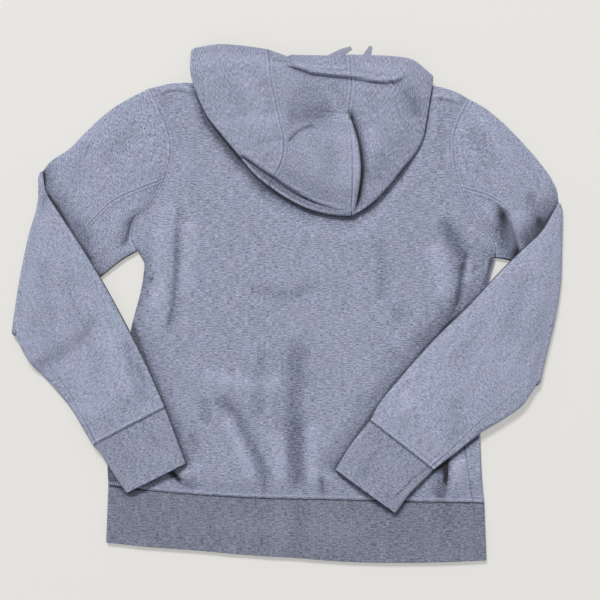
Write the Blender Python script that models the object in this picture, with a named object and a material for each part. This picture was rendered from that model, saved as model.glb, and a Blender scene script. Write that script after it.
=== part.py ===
"""A zip-up hoodie of knitted jersey, lying face down with both sleeves folded over its back.

The tables are in millimetres and everything that is built is in metres. The garment lies on z = 0,
+Y points to its shoulders, and +X is the wearer's right. Each piece of cloth is a grid over its middle
surface, which a Solidify modifier gives its wall.
"""
import math
from collections import namedtuple

import bmesh
import bpy
import numpy as np
from mathutils import Matrix, Vector

MM = 0.001

# Driving sizes
CLOTH = 0.0020  # wall of the jersey
RIB = 0.0024  # wall of the ribbed waistband and cuffs
FOLD = 0.0022  # radius of a pressed fold, at the middle of the wall
HOOD_FOLD = 0.0035  # radius of the hood's softer folds
GAP = 0.0003  # between neighbours
FRONT_Z = CLOTH / 2  # middle of the layer on the floor
BACK_Z = FRONT_Z + 2 * FOLD  # middle of the layer that lies on it
SLEEVE_Z = FRONT_Z + FOLD  # middle of a sleeve's two layers
FOREARM_LIFT = 0.0070  # how far the folded forearm lies above the upper arm
CROWN = 0.0035  # how far air lifts the open back
ZIP_HALF = 0.008  # from the middle of the zip to the edge of each front
TAPE = 0.0007
TEETH = 0.0018
SLIDER_LIFT = 0.00135
HEM_RISE = 0.58  # share of a side edge that lies below the armpit
ZIP_LEFT_SHARE = 0.494  # where the zip cuts the waist and the hem
ZIP_RIGHT_SHARE = 0.527
BACK_WAIST_END = 0.957  # where the back's right seam meets the waist

Point = namedtuple("Point", "x y")
Edge = namedtuple("Edge", "folded cut rise")
Row = namedtuple("Row", "folded cut rise side")
Crease = namedtuple("Crease", "x0 y0 x1 y1 width height")
Arm = namedtuple("Arm", "outward armhole outer under fold fore_top fore_low cuff_top cuff_low")


def table(*rows):
    """Points of an outline, one row each, from millimetres to metres."""
    return [Point(x * MM, y * MM) for x, y in rows]


# Outlines of the body, upwards or from left to right
SIDE_LEFT = table((-239, -244), (-240, -214), (-232, -170), (-224, -123), (-209, -36), (-192, 38),
                  (-191, 53), (-200, 70))
ARMHOLE_LEFT = table((-200, 70), (-206, 84), (-206, 100), (-198, 118), (-186, 130), (-170, 154), (-161, 178),
                     (-156, 205), (-159, 229), (-168, 253), (-184, 287))
SIDE_RIGHT = table((264, -263), (261, -230), (259, -184), (259, -130), (263, -29), (266, 11), (279, 62))
ARMHOLE_RIGHT = table((279, 62), (277, 80), (267, 98), (255, 111), (243, 131), (233, 155), (226, 177),
                      (223, 198), (224, 228), (232, 249), (244, 272))
SHOULDER_LEFT = table((-184, 287), (-154, 293), (-127, 294), (-56, 296))
BACK_NECK = table((-56, 296), (-34, 285), (-3, 277), (31, 275), (64, 277), (95, 285), (118, 296))
SHOULDER_RIGHT = table((118, 296), (165, 295), (205, 288), (232, 279), (244, 272))
FRONT_NECK_LEFT = table((-56, 296), (-50, 265), (-34, 239), (-9, 218), (20, 209))
FRONT_NECK_RIGHT = table((36, 209), (66, 218), (87, 239), (105, 265), (118, 296))
WAIST = table((-239, -244), (-150, -253), (-63, -259), (78, -262.5), (170, -265), (264, -266.5))
HEM = table((-242, -320), (-184, -326), (-117, -331), (-50, -337), (17, -341), (66, -345), (178, -347),
            (267, -344))

# The two sleeves, folded flat at the elbow so that the forearm lies over the back
ARM_LEFT = Arm(
    outward=(-0.99, -0.12),
    armhole=ARMHOLE_LEFT,
    outer=table((-184, 287), (-210, 274), (-237, 257), (-264, 233), (-291, 206), (-318, 187), (-326, 176)),
    under=table((-200, 70), (-224, 55), (-249, 35), (-304, -3), (-362, -44)),
    fold=table((-326, 176), (-326, 138), (-339, 88), (-351, 29), (-362, -44)),
    fore_top=table((-326, 176), (-322, 151), (-304, 121), (-277, 80), (-249, 35), (-217, -23), (-184, -88),
                   (-162, -138)),
    fore_low=table((-362, -44), (-342, -80), (-318, -106), (-291, -138), (-271, -168), (-259, -189)),
    cuff_top=table((-162, -138), (-150, -170), (-143, -189), (-134, -213)),
    cuff_low=table((-259, -189), (-251, -197), (-240, -214), (-226, -236), (-214, -253)),
)
ARM_RIGHT = Arm(
    outward=(0.995, -0.10),
    armhole=ARMHOLE_RIGHT,
    outer=table((244, 272), (259, 264), (285, 244), (312, 217), (339, 186), (352, 168), (360, 151),
                (362, 134)),
    under=table((279, 62), (299, 56), (314, -9), (331, -111)),
    fold=table((362, 134), (361, 78), (359, 24), (351, -25), (340, -70), (331, -111)),
    fore_top=table((362, 134), (339, 96), (312, 70), (285, 43), (245, 0), (192, -52), (145, -105),
                   (122, -133), (110, -155)),
    fore_low=table((331, -111), (312, -138), (285, -157), (259, -173), (228, -198), (196, -222)),
    cuff_top=table((110, -155), (98, -170), (84, -188), (71, -209), (64, -221)),
    cuff_low=table((196, -222), (178, -240), (165, -253), (145, -280)),
)

# The hood, which lies over the back: its fold outline, rim, seams and neck, each from the rim downwards
HOOD_FOLD_LEFT = table((-128, 340), (-129, 310), (-125, 291), (-118, 273), (-106, 248), (-88, 225),
                       (-64, 196), (-43, 171), (-25, 156))
HOOD_FOLD_RIGHT = table((196, 304), (190, 268), (186, 243), (181, 218), (170, 198), (155, 180), (135, 155),
                        (111, 131), (87, 116))
RIM_LEFT = table((-128, 340), (-96, 344), (-63, 342), (-25, 337))
RIM_RIGHT = table((196, 304), (172, 321), (145, 326), (111, 328), (83, 329))
SEAM_OVER_LEFT = table((-25, 337), (-20, 292), (-11, 248), (-4, 215), (-8, 185), (-21, 164))
SEAM_OVER_RIGHT = table((83, 329), (86, 290), (82, 251), (86, 208), (87, 158), (86, 125))
SEAM_UNDER_LEFT = table((-3, 279), (-9, 239), (-16, 198), (-22, 165))
SEAM_UNDER_RIGHT = table((64, 279), (71, 225), (78, 172), (84, 125))
NAPE_LEFT = table((-46, 307), (-29, 291), (-3, 279))
NAPE_RIGHT = table((108, 307), (91, 291), (64, 279))
THROAT_LEFT = table((-46, 307), (-37, 297), (-36, 272), (-32, 242), (-12, 215), (21, 204))
THROAT_RIGHT = table((108, 307), (99, 297), (96, 272), (88, 242), (69, 216), (35, 204))
RIM_UNDER_LEFT = table((-128, 340), (-83, 332), (-34, 315), (-4, 285), (13, 252), (22, 214))
RIM_UNDER_RIGHT = table((196, 304), (145, 322), (90, 315), (60, 285), (43, 252), (34, 214))

# Large creases of the back and the hood: the line of each, its half width and its height, which is
# below zero where the cloth sinks
BACK_CREASES = [
    Crease(-147, 118, -156, -20, 9, -3.0),
    Crease(-158, 110, -170, -10, 9, 1.6),
    Crease(225, 95, 225, -5, 10, -3.0),
    Crease(12, -135, 13, -250, 9, 2.0),
    Crease(-34, -204, -34, -250, 9, 1.6),
]
HOOD_CREASES = [
    Crease(82, 250, 96, 182, 9, -4.5),
    Crease(96, 182, 88, 126, 9, -4.5),
    Crease(5, 312, 38, 300, 10, -3.5),
    Crease(38, 300, 160, 295, 10, -3.5),
    Crease(142, 292, 173, 245, 12, -2.0),
]

# The zip, from the middle of the hem to the neck
ZIP_FOOT = np.array([0.0180, -0.3440])
ZIP_HEAD = np.array([0.0288, 0.2010])
ZIP_LENGTH = float(np.linalg.norm(ZIP_HEAD - ZIP_FOOT))
SLIDER_AT = ZIP_LENGTH - 0.012

# The drawstring's free ends, from the eyelets to the tips
CORD_WIDTH = 0.0090
CORD_THICK = 0.0012
CORD_Z = 0.0007
CORD_STEP = 0.006
EYELET_LEFT = (1, 234)
EYELET_RIGHT = (55, 234)
CORD_LEFT = table(EYELET_LEFT, (2, 243), (9, 262), (21, 284), (34, 304), (46, 319), (59, 329), (73, 336),
                  (86, 342))
CORD_RIGHT = table(EYELET_RIGHT, (58, 244), (67, 262), (79, 284), (90, 302), (99, 317), (105, 329),
                   (110, 338), (112, 344))


def material(name, colour, roughness, metallic=0.0):
    made = bpy.data.materials.new(name)
    made.use_nodes = True
    shader = made.node_tree.nodes["Principled BSDF"]
    shader.inputs["Base Color"].default_value = (*colour, 1.0)
    shader.inputs["Roughness"].default_value = roughness
    shader.inputs["Metallic"].default_value = metallic
    return made


def smooth(rows):
    """A smooth line through the rows, as a function of 0..1 along its length."""
    points = np.array(rows, float)
    steps = np.linalg.norm(np.diff(points, axis=0), axis=1)
    knots = np.concatenate([[0.0], np.cumsum(steps)]) / steps.sum()
    slopes = np.gradient(points, knots, axis=0)

    def at(t):
        t = min(max(t, 0.0), 1.0)
        k = min(int(np.searchsorted(knots, t, "right")) - 1, len(knots) - 2)
        span = knots[k + 1] - knots[k]
        s = (t - knots[k]) / span
        return (
            (1 + 2 * s) * (1 - s) ** 2 * points[k]
            + s * (1 - s) ** 2 * span * slopes[k]
            + s * s * (3 - 2 * s) * points[k + 1]
            - s * s * (1 - s) * span * slopes[k + 1]
        )

    return at


def end_to_end(lines, shares):
    """Several lines made one, each of them ending at its share of the whole."""
    starts = [0.0, *shares[:-1]]

    def at(t):
        for line, start, share in zip(lines, starts, shares):
            if t <= share + 1e-9:
                return line((t - start) / (share - start))
        return lines[-1](1.0)

    return at


def moved(line, distance):
    """The line moved sideways, to its left, by a distance."""

    def at(t):
        way = line(min(t + 0.01, 1.0)) - line(max(t - 0.01, 0.0))
        way = way / np.linalg.norm(way)
        return line(t) + distance * np.array([-way[1], way[0]])

    return at


def straight(a, b):
    return lambda t: a + t * (b - a)


def fitted(line, start, end):
    """The line, shifted and stretched a little so that it runs from start to end."""
    return lambda t: line(t) + (1 - t) * (start - line(0.0)) + t * (end - line(1.0))


def ease(t):
    """0 up to t = 0, 1 from t = 1, and smooth between."""
    t = min(max(t, 0.0), 1.0)
    return t * t * (3 - 2 * t)


def filled(left, right, bottom, top, us, vs):
    """A grid of points inside four edge lines; us and vs say how far across and up each point is."""
    grid = np.zeros((*np.shape(us), 2))
    first, second, third, fourth = bottom(0.0), bottom(1.0), top(0.0), top(1.0)
    for i, j in np.ndindex(np.shape(us)):
        u, v = us[i][j], vs[i][j]
        ruled = (1 - u) * left(v) + u * right(v) + (1 - v) * bottom(u) + v * top(u)
        grid[i, j] = ruled - (1 - v) * ((1 - u) * first + u * second) - v * ((1 - u) * third + u * fourth)
    return grid


def crease_height(creases, x, y):
    """How far the creases lift or sink the cloth at a point."""
    height = 0.0
    for crease in creases:
        start = np.array([crease.x0, crease.y0]) * MM
        way = np.array([crease.x1, crease.y1]) * MM - start
        length = np.linalg.norm(way)
        along = np.dot(np.array([x, y]) - start, way) / length
        across = abs((x - start[0]) * way[1] - (y - start[1]) * way[0]) / length
        fade = ease(along / 0.03 + 0.5) * ease((length - along) / 0.03 + 0.5)
        height += crease.height * MM * fade * math.exp(-((across / (crease.width * MM)) ** 2))
    return height


def cloth(name, grids, thickness, finish):
    """A wall of cloth over one or more grids of points, which are joined where they meet."""
    mesh = bmesh.new()
    for grid in grids:
        grid = np.asarray(grid)
        rows, columns = grid.shape[:2]
        made = bmesh.ops.create_grid(mesh, x_segments=columns - 1, y_segments=rows - 1, size=0.5)
        for vert in made["verts"]:
            column = round((vert.co.x + 0.5) * (columns - 1))
            row = round((vert.co.y + 0.5) * (rows - 1))
            vert.co = grid[row, column]
    bmesh.ops.remove_doubles(mesh, verts=mesh.verts, dist=0.00001)
    bmesh.ops.recalc_face_normals(mesh, faces=mesh.faces)
    return finished(name, mesh, finish, wall=thickness)


def finished(name, mesh, finish, wall=None):
    """Turns a bmesh into an object with its material and, for cloth, its wall."""
    data = bpy.data.meshes.new(name)
    mesh.to_mesh(data)
    mesh.free()
    data.materials.append(finish)
    made = bpy.data.objects.new(name, data)
    bpy.context.collection.objects.link(made)
    if wall:
        solid = made.modifiers.new("Wall", "SOLIDIFY")
        solid.thickness = wall
        solid.offset = 0.0
    return made


# ---------------------------------------------------------------- body

SEAMED = [Edge(0.0, 0.0, FOLD - GAP), Edge(0.00006, 0.0008, FOLD - 0.0008), Edge(0.00064, 0.0015, 0.00064),
          Edge(FOLD, FOLD, 0.0)]
WRAPPED = [Edge(0.0, 0.0, FOLD), Edge(0.00064, 0.0010, 0.00064), Edge(FOLD, FOLD, 0.0)]
CUT = [Edge(0.0, 0.0, 0.0)]
ARMHOLE_SHARES = (0.09, 0.18, 0.27, 0.37, 0.47, 0.57, 0.68, 0.79, 0.90)
SIDE_SHARES = (0.0, 0.07, 0.19, 0.31, 0.43, 0.55, 0.67, 0.78, 0.89, 1.0)
ARMHOLE_LENGTH = 0.25
ARMPIT_CLEAR = 0.0012  # more room between the sleeve and the body at the armpit


def body_rows():
    """The rows of a body panel from the waist to the shoulder, which the last ones go round."""
    rows = [Row(HEM_RISE * share, HEM_RISE * share, 0.0, True) for share in SIDE_SHARES]
    arm = 1.0 - HEM_RISE
    inside = FOLD / ARMHOLE_LENGTH
    for share in (inside, *ARMHOLE_SHARES):
        rows.append(Row(HEM_RISE + arm * share, HEM_RISE + arm * share, 0.0, False))
    for edge in reversed(SEAMED):
        folded = 1.0 - arm * edge.folded / ARMHOLE_LENGTH
        cut = 1.0 - arm * edge.cut / ARMHOLE_LENGTH
        rows.append(Row(folded, cut, edge.rise, False))
    return rows


ROWS = body_rows()
ARMPIT_ROW = len(SIDE_SHARES) - 1


def side_line(side, armhole, inward):
    """An edge of a body panel: the side, set in by half the wall where it folds, then the armhole."""
    lower = moved(smooth(side), inward * CLOTH / 2)
    upper = moved(smooth(armhole), inward * GAP / 2)
    return end_to_end((lower, upper), (HEM_RISE, 1.0))


def panel(left, right, bottom, top, left_edge, right_edge, flat, on_shoulder):
    """A body panel's points in plan, with the rise of its folded edges as a third number."""
    width = np.linalg.norm(right(0.5) - left(0.5))
    columns = [*left_edge, *flat, *reversed(right_edge)]
    rights = len(columns) - len(right_edge)
    start, end = left_edge[-1].folded, right_edge[-1].folded
    us, vs, rises = [], [], []
    for row in ROWS:
        across = []
        rise = []
        for j, column in enumerate(columns):
            if j < len(left_edge) or j >= rights:
                inset = (column.folded if row.side else column.cut) / width
                across.append(inset if j < len(left_edge) else 1.0 - inset)
            else:
                across.append((start + column * (width - start - end)) / width)
            side_rise = getattr(column, "rise", 0.0) if row.side else 0.0
            rise.append(max(side_rise, row.rise if on_shoulder(j) else 0.0))
        us.append(across)
        vs.append([row.folded if on_shoulder(j) else row.cut for j in range(len(columns))])
        rises.append(rise)
    return filled(left, right, bottom, top, us, vs), np.array(rises)


def squared(left, right, bottom, top):
    """The four edges of a panel, brought together at its corners."""
    low_left, low_right, high_left, high_right = (
        np.array([upright(up)[0], level(across)[1]])
        for upright, level, across, up in (
            (left, bottom, 0.0, 0.0),
            (right, bottom, 1.0, 0.0),
            (left, top, 0.0, 1.0),
            (right, top, 1.0, 1.0),
        )
    )
    return (
        fitted(left, low_left, high_left),
        fitted(right, low_right, high_right),
        fitted(bottom, low_left, low_right),
        fitted(top, high_left, high_right),
    )


def share_of(column, width, left_edge, right_edge):
    """Where a flat column lies on the panel's top line."""
    start, end = left_edge[-1].folded, right_edge[-1].folded
    return (start + column * (width - start - end)) / width


# How far the sleeves and the hood leave the back open, from the hem upwards and from left to right
OPEN_LEFT = table((-134, -213), (-150, -170), (-184, -88), (-208, -23), (-192, 38), (-200, 70), (-206, 100),
                  (-186, 130), (-161, 178), (-156, 205), (-168, 253), (-184, 287))
OPEN_RIGHT = table((64, -221), (98, -170), (145, -105), (192, -52), (240, -5), (266, 20), (277, 80),
                   (255, 111), (233, 155), (223, 198), (232, 249), (244, 272))
OPEN_TOP = table((-128, 280), (-106, 248), (-64, 196), (-25, 156), (27, 126), (84, 116), (111, 131),
                 (155, 180), (186, 243), (196, 270))
RAMP = 0.045
MARGIN = 0.008
NECK_LIFT = 0.0026  # room for the slider and the hood's throat under the back
NECK_BOX = (-0.064, 0.128, 0.150)


def neck_lift(x, y, spread=0.0):
    left, right, low = NECK_BOX
    side = ease((x - left + spread) / 0.014) * ease((right - x + spread) / 0.014)
    return NECK_LIFT * side * ease((y - low + spread) / 0.014)


def back_lift(x, y):
    """How far the back lies above a plain flat layer."""
    left = np.interp(y, [p.y for p in OPEN_LEFT], [p.x for p in OPEN_LEFT])
    right = np.interp(y, [p.y for p in OPEN_RIGHT], [p.x for p in OPEN_RIGHT])
    top = np.interp(x, [p.x for p in OPEN_TOP], [p.y for p in OPEN_TOP])
    room = ease((x - left - MARGIN) / RAMP) * ease((right - x - MARGIN) / RAMP)
    room *= ease((top - y - MARGIN) / RAMP)
    room *= ease((y + 0.258) / 0.03)
    return CROWN * room + crease_height(BACK_CREASES, x, y) * min(1.0, 1.6 * room) + neck_lift(x, y)


def zip_edge(side):
    """The edge of a front along the zip, from the waist to the neck; side is -1 left, 1 right."""
    way = (ZIP_HEAD - ZIP_FOOT) / ZIP_LENGTH
    across = np.array([way[1], -way[0]]) * ZIP_HALF * side
    foot = ZIP_FOOT + way * 0.0835 + across
    head = ZIP_FOOT + way * (ZIP_LENGTH + 0.008) + across
    return lambda t: foot + t * (head - foot)


WRAP_FOOT = 0.021
WRAP_ARMPIT = 0.0036
WRAP_SLOPE = 0.02


def wrap_width(share):
    return WRAP_FOOT + (WRAP_ARMPIT - WRAP_FOOT) * share


def back_side(share):
    """The back's right side seam, where the front wraps over onto the back."""
    edge = smooth(SIDE_RIGHT)(share)
    return edge - np.array([CLOTH / 2 + wrap_width(share) + GAP * (1 + share), 0.0])


BACK_FLAT = (0.06, 0.09, 0.11, 0.135, 0.20, 0.30, 0.40, 0.50, 0.60, 0.706, 0.80, 0.865, 0.89, 0.915, 0.945)
FRONT_LEFT_FLAT = (0.14, 0.28, 0.42, 0.55, 0.66, 0.78, 0.89)
FRONT_RIGHT_FLAT = (0.11, 0.22, 0.34, 0.45, 0.59, 0.73, 0.87)


def back_panel():
    left = side_line(SIDE_LEFT, ARMHOLE_LEFT, -1)
    right = end_to_end((back_side, moved(smooth(ARMHOLE_RIGHT), GAP / 2)), (HEM_RISE, 1.0))
    width = np.linalg.norm(right(0.5) - left(0.5))
    corners = [share_of(share, width, SEAMED, CUT) for share in (0.30, 0.706)]
    top = end_to_end(
        (
            moved(smooth(SHOULDER_LEFT), -CLOTH / 2),
            smooth(BACK_NECK),
            moved(smooth(SHOULDER_RIGHT), -CLOTH / 2),
        ),
        (*corners, 1.0),
    )
    waist = moved(smooth(WAIST), GAP / 2)
    edges = squared(left, right, lambda t: waist(t * BACK_WAIST_END), top)
    first, last = len(SEAMED) + BACK_FLAT.index(0.30), len(SEAMED) + BACK_FLAT.index(0.706)
    plan, rises = panel(*edges, SEAMED, CUT, BACK_FLAT, lambda j: not first < j < last)
    grid = np.zeros((*plan.shape[:2], 3))
    for i, j in np.ndindex(plan.shape[:2]):
        x, y = plan[i, j]
        grid[i, j] = (x, y, BACK_Z + back_lift(x, y) - rises[i, j])
    return grid


def front_panel(side):
    """A front, left at -1 and right at 1, flat on the floor up to its folded edges."""
    if side < 0:
        left, right = side_line(SIDE_LEFT, ARMHOLE_LEFT, -1), zip_edge(-1)
        flat, left_edge, right_edge, neck = FRONT_LEFT_FLAT, SEAMED, CUT, 0.55
        lines = (moved(smooth(SHOULDER_LEFT), -CLOTH / 2), smooth(FRONT_NECK_LEFT))
    else:
        left, right = zip_edge(1), side_line(SIDE_RIGHT, ARMHOLE_RIGHT, 1)
        flat, left_edge, right_edge, neck = FRONT_RIGHT_FLAT, CUT, WRAPPED, 0.45
        lines = (smooth(FRONT_NECK_RIGHT), moved(smooth(SHOULDER_RIGHT), -CLOTH / 2))
    width = np.linalg.norm(right(0.5) - left(0.5))
    top = end_to_end(lines, (share_of(neck, width, left_edge, right_edge), 1.0))
    waist = moved(smooth(WAIST), GAP / 2)
    reach = (0.0, ZIP_LEFT_SHARE) if side < 0 else (ZIP_RIGHT_SHARE, 1.0)
    edges = squared(left, right, lambda t: waist(reach[0] + t * (reach[1] - reach[0])), top)
    corner = len(left_edge) + flat.index(neck)
    shoulder = (lambda j: j <= corner) if side < 0 else (lambda j: j >= corner)
    plan, rises = panel(*edges, left_edge, right_edge, flat, shoulder)
    grid = np.dstack([plan, FRONT_Z + rises])
    if side < 0:
        return [grid]
    wrap = np.zeros((ARMPIT_ROW + 1, 4, 3))
    inward = np.array([-1.0, WRAP_SLOPE])
    for i in range(ARMPIT_ROW + 1):
        start = grid[i, -1]
        width = wrap_width(SIDE_SHARES[i])
        for j, (inset, z) in enumerate(
            ((0.0, start[2]), (0.29 * FOLD, FRONT_Z + 1.71 * FOLD), (FOLD, BACK_Z), (width, BACK_Z))
        ):
            wrap[i, j] = (*(start[:2] + inward * inset), z)
    return [grid, wrap]


# ---------------------------------------------------------------- sleeves and cuffs

RING_SHARES = tuple(round(1.0 - share, 3) for share in reversed(ARMHOLE_SHARES))
BACK_SEAM = RING_SHARES[4]  # where a sleeve's seams lie across it, at the armhole
FRONT_SEAM = RING_SHARES[6]
BACK_SEAM_ELBOW = 0.74
FRONT_SEAM_ELBOW = 0.85
BACK_SEAM_CUFF = 0.90
FRONT_SEAM_CUFF = 0.92
ROLL = ((FOLD, 1.0), (0.29 * FOLD, 0.71), (0.0, 0.0), (0.29 * FOLD, -0.71), (FOLD, -1.0))
UPPER_ARM = (0.0, 0.10, 0.28, 0.50, 0.70, 0.87)
ELBOW = (0.0, 45.0, 90.0, 135.0, 180.0)
FOREARM = (0.14, 0.32, 0.50, 0.68, 0.86, 1.0)
DROP = 0.025  # length of cloth over which a forearm sinks to the floor
OVERHANG = 0.038  # how far past an edge it stays up
Station = namedtuple("Station", "centre bend back_seam front_seam laid")
LAPS = {-1: ((-0.362, -0.044), (-0.200, 0.070)), 1: ((0.299, 0.056), (0.331, -0.111))}


def support(side, xy):
    """1 where a forearm lies on the upper arm or the body, 0 where it reaches the floor."""
    start, end = (np.array(point) for point in LAPS[side])
    way = (end - start) / np.linalg.norm(end - start)
    over_arm = way[0] * (xy[1] - start[1]) - way[1] * (xy[0] - start[0])
    rows = SIDE_LEFT if side < 0 else SIDE_RIGHT
    edge = np.interp(xy[1], [p.y for p in rows], [p.x for p in rows])
    over_body = (edge - xy[0]) * side
    return ease(1 + (max(over_arm, over_body) + OVERHANG) / DROP)


def chord(first, second, t, u):
    """The straight middle line of a sleeve between its two edges, set in by half the wall."""
    a, b = first(t), second(t)
    width = np.linalg.norm(b - a)
    inset = CLOTH / 2 / width
    return a + (inset + u * (1 - 2 * inset)) * (b - a)


def sleeve_stations(arm, first_ring):
    outer, under, fold = smooth(arm.outer), smooth(arm.under), smooth(arm.fold)
    fore_top, fore_low = smooth(arm.fore_top), smooth(arm.fore_low)

    def folded(u):
        inset = CLOTH / 2 / 0.2
        return fold(inset + u * (1 - 2 * inset))

    def bow(u):
        return folded(u) - chord(lambda t: fold(0.0), lambda t: fold(1.0), 0.0, u)

    def armhole_bow(u):
        return first_ring(u, 0.0) - (first_ring(0.0, 0.0) * (1 - u) + first_ring(1.0, 0.0) * u)

    stations = []
    for t in UPPER_ARM:
        near_arm, near_fold = ease(1 - t / 0.3), ease((t - 0.6) / 0.4)

        def centre(u, h, t=t, near_arm=near_arm, near_fold=near_fold):
            if t == 0.0:
                return first_ring(u, h)
            return chord(outer, under, t, u) + near_arm * armhole_bow(u) + near_fold * bow(u)

        back_seam = BACK_SEAM + (BACK_SEAM_ELBOW - BACK_SEAM) * t
        front_seam = FRONT_SEAM + (FRONT_SEAM_ELBOW - FRONT_SEAM) * t
        stations.append(Station(centre, 0.0, back_seam, front_seam, False))
    for bend in ELBOW:
        stations.append(
            Station(lambda u, h: folded(u), math.radians(bend), BACK_SEAM_ELBOW, FRONT_SEAM_ELBOW, False)
        )
    for t in FOREARM:
        near_fold = ease(1 - t / 0.35)

        def centre(u, h, t=t, near_fold=near_fold):
            return chord(fore_top, fore_low, t, u) + near_fold * bow(u)

        back_seam = BACK_SEAM_ELBOW + (BACK_SEAM_CUFF - BACK_SEAM_ELBOW) * t
        front_seam = FRONT_SEAM_ELBOW + (FRONT_SEAM_CUFF - FRONT_SEAM_ELBOW) * t
        stations.append(Station(centre, math.pi, back_seam, front_seam, True))
    return stations


def sleeve_point(side, arm, station, u, h):
    """A point of a sleeve: u across from its outer edge, h up from the middle of its two layers."""
    reach = FOREARM_LIFT / 2
    outward = np.array(arm.outward) / np.linalg.norm(arm.outward)
    xy = station.centre(u, h / FOLD)
    if station.laid:
        return (*xy, SLEEVE_Z + FOREARM_LIFT * support(side, xy) - h)
    xy = xy + outward * (reach - h) * math.sin(station.bend)
    return (*xy, SLEEVE_Z + reach - (reach - h) * math.cos(station.bend))


def remapped(share, seam, moved_seam):
    """A share across the sleeve, stretched so that the seam comes to its new place."""
    if share <= seam:
        return share * moved_seam / seam
    return moved_seam + (share - seam) * (1 - moved_seam) / (1 - seam)


def ring(side, arm, station, part):
    """A row of points round the sleeve, for its main piece or its under piece."""
    width = np.linalg.norm(station.centre(1.0, 0.0) - station.centre(0.0, 0.0))
    slit = GAP / width

    def layer(shares, seam, moved_seam, h, trim):
        made = [(remapped(share, seam, moved_seam), h) for share in shares]
        made[0 if trim > 0 else -1] = (made[0 if trim > 0 else -1][0] + trim * slit, h)
        return made

    roll = [(inset / width, up) for inset, up in ROLL]
    if part == "main":
        upper = layer(RING_SHARES[:5], BACK_SEAM, station.back_seam, 1.0, -1)
        lower = layer(RING_SHARES[:7], FRONT_SEAM, station.front_seam, -1.0, -1)
        stops = [*reversed(upper), *roll, *lower]
    else:
        upper = layer(RING_SHARES[4:], BACK_SEAM, station.back_seam, 1.0, 1)
        lower = layer(RING_SHARES[6:], FRONT_SEAM, station.front_seam, -1.0, 1)
        stops = [*upper, *[(1 - inset, up) for inset, up in roll], *reversed(lower)]
    return [sleeve_point(side, arm, station, u, up * FOLD) for u, up in stops]


def armhole_ring(side, back, fronts):
    """The sleeve's first ring: the armhole's own edge points, moved out by the gap."""
    column = 0 if side < 0 else -1
    shares = [0.0, FOLD / ARMHOLE_LENGTH, *ARMHOLE_SHARES]
    shares += [1.0 - edge.folded / ARMHOLE_LENGTH for edge in reversed(SEAMED)]
    edges = []
    for grid in (fronts, back):
        points = grid[ARMPIT_ROW:, column, :2].copy()
        points[0] = fronts[ARMPIT_ROW, column, :2]
        ways = np.gradient(points, axis=0)
        ways /= np.linalg.norm(ways, axis=1)[:, None]
        edges.append(points + np.column_stack([-ways[:, 1], ways[:, 0]]) * -side * GAP)

    def at(u, up):
        t = 1.0 - u
        low, high = (np.array([np.interp(t, shares, edge[:, k]) for k in (0, 1)]) for edge in edges)
        clear = np.array([side * ARMPIT_CLEAR * ease((u - 0.93) / 0.07), 0.0])
        return low + (high - low) * (up + 1) / 2 + clear

    return at


def cuff(side, arm):
    """A closed tube of rib from the end of the sleeve."""
    top, low = smooth(arm.cuff_top), smooth(arm.cuff_low)
    grid = []
    for t in (0.008, 0.35, 0.70, 1.0):
        a, b = top(t), low(t)
        width = np.linalg.norm(b - a)
        inset = RIB / 2 / width
        roll = [(inset + edge / width, up) for edge, up in ROLL]
        stops = [*roll, *[(share, -1.0) for share in (0.15, 0.38, 0.62, 0.85)]]
        stops += [(1 - u, up) for u, up in reversed(roll)]
        stops += [(share, 1.0) for share in (0.85, 0.62, 0.38, 0.15)]
        row = []
        for u, up in [*stops, stops[0]]:
            xy = a + u * (b - a)
            row.append((*xy, SLEEVE_Z + (FOREARM_LIFT + 0.0004) * support(side, xy) - up * FOLD))
        grid.append(row)
    return grid


def waistband():
    """A strip of rib from one edge of the zip, round the back, to the other."""
    top, bottom = moved(smooth(WAIST), -GAP / 2), smooth(HEM)
    inset = RIB / 2
    low_z, high_z = RIB / 2, RIB / 2 + 2 * FOLD
    width = 0.506
    stops = [(u, low_z) for u in (ZIP_LEFT_SHARE, 0.41, 0.33, 0.25, 0.17, 0.08)]
    stops += [((inset + edge) / width, low_z + FOLD * (1 + up)) for edge, up in reversed(ROLL)]
    stops += [(u, high_z) for u in (0.08, 0.17, 0.25, 0.33, 0.41, 0.50, 0.58, 0.67, 0.75, 0.83, 0.92, 0.96)]
    stops += [(1 - (inset + edge) / width, low_z + FOLD * (1 + up)) for edge, up in ROLL]
    stops += [(u, low_z) for u in (0.96, 0.92, 0.83, 0.75, 0.67, 0.59, ZIP_RIGHT_SHARE)]
    rows = []
    for h in (0.0, 0.5, 1.0):
        rows.append([(*(bottom(u) + h * (top(u) - bottom(u))), z) for u, z in stops])
    return rows


# ---------------------------------------------------------------- hood

HOOD_Z = BACK_Z + CLOTH + 3 * GAP  # middle of the layer that lies on the back
THROAT_Z = CLOTH + 0.0014  # middle of the layer inside the front neck
HOOD_CROWN = 0.0065
HOOD_ROWS = (0.0, 0.08, 0.20, 0.34, 0.50, 0.66, 0.82, 1.0)
UNDER_FLAT = (0.0, 0.2, 0.4, 0.6, 0.8, 1.0)
OVER_FLAT = (0.25, 0.5, 0.75, 1.0)
NECK_COLUMN = 3
THROAT_ROWS = (0.0, 0.05, 0.10, 0.30, 0.50, 0.70, 0.86, 1.0)
HOOD_ROLL = ((0.29, 0.29), (0.0, 1.0), (0.29, 1.71), (1.0, 2.0))
CROWN_SAG = 0.011
RIM_DIP = ((0.0, 0.0), (0.12, 0.0040), (0.25, 0.0072), (0.39, 0.0050), (0.77, 0.0029), (1.0, 0.0))
RIM_REACH = 0.12  # how far down the centre strip the dip in its rim is felt


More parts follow.
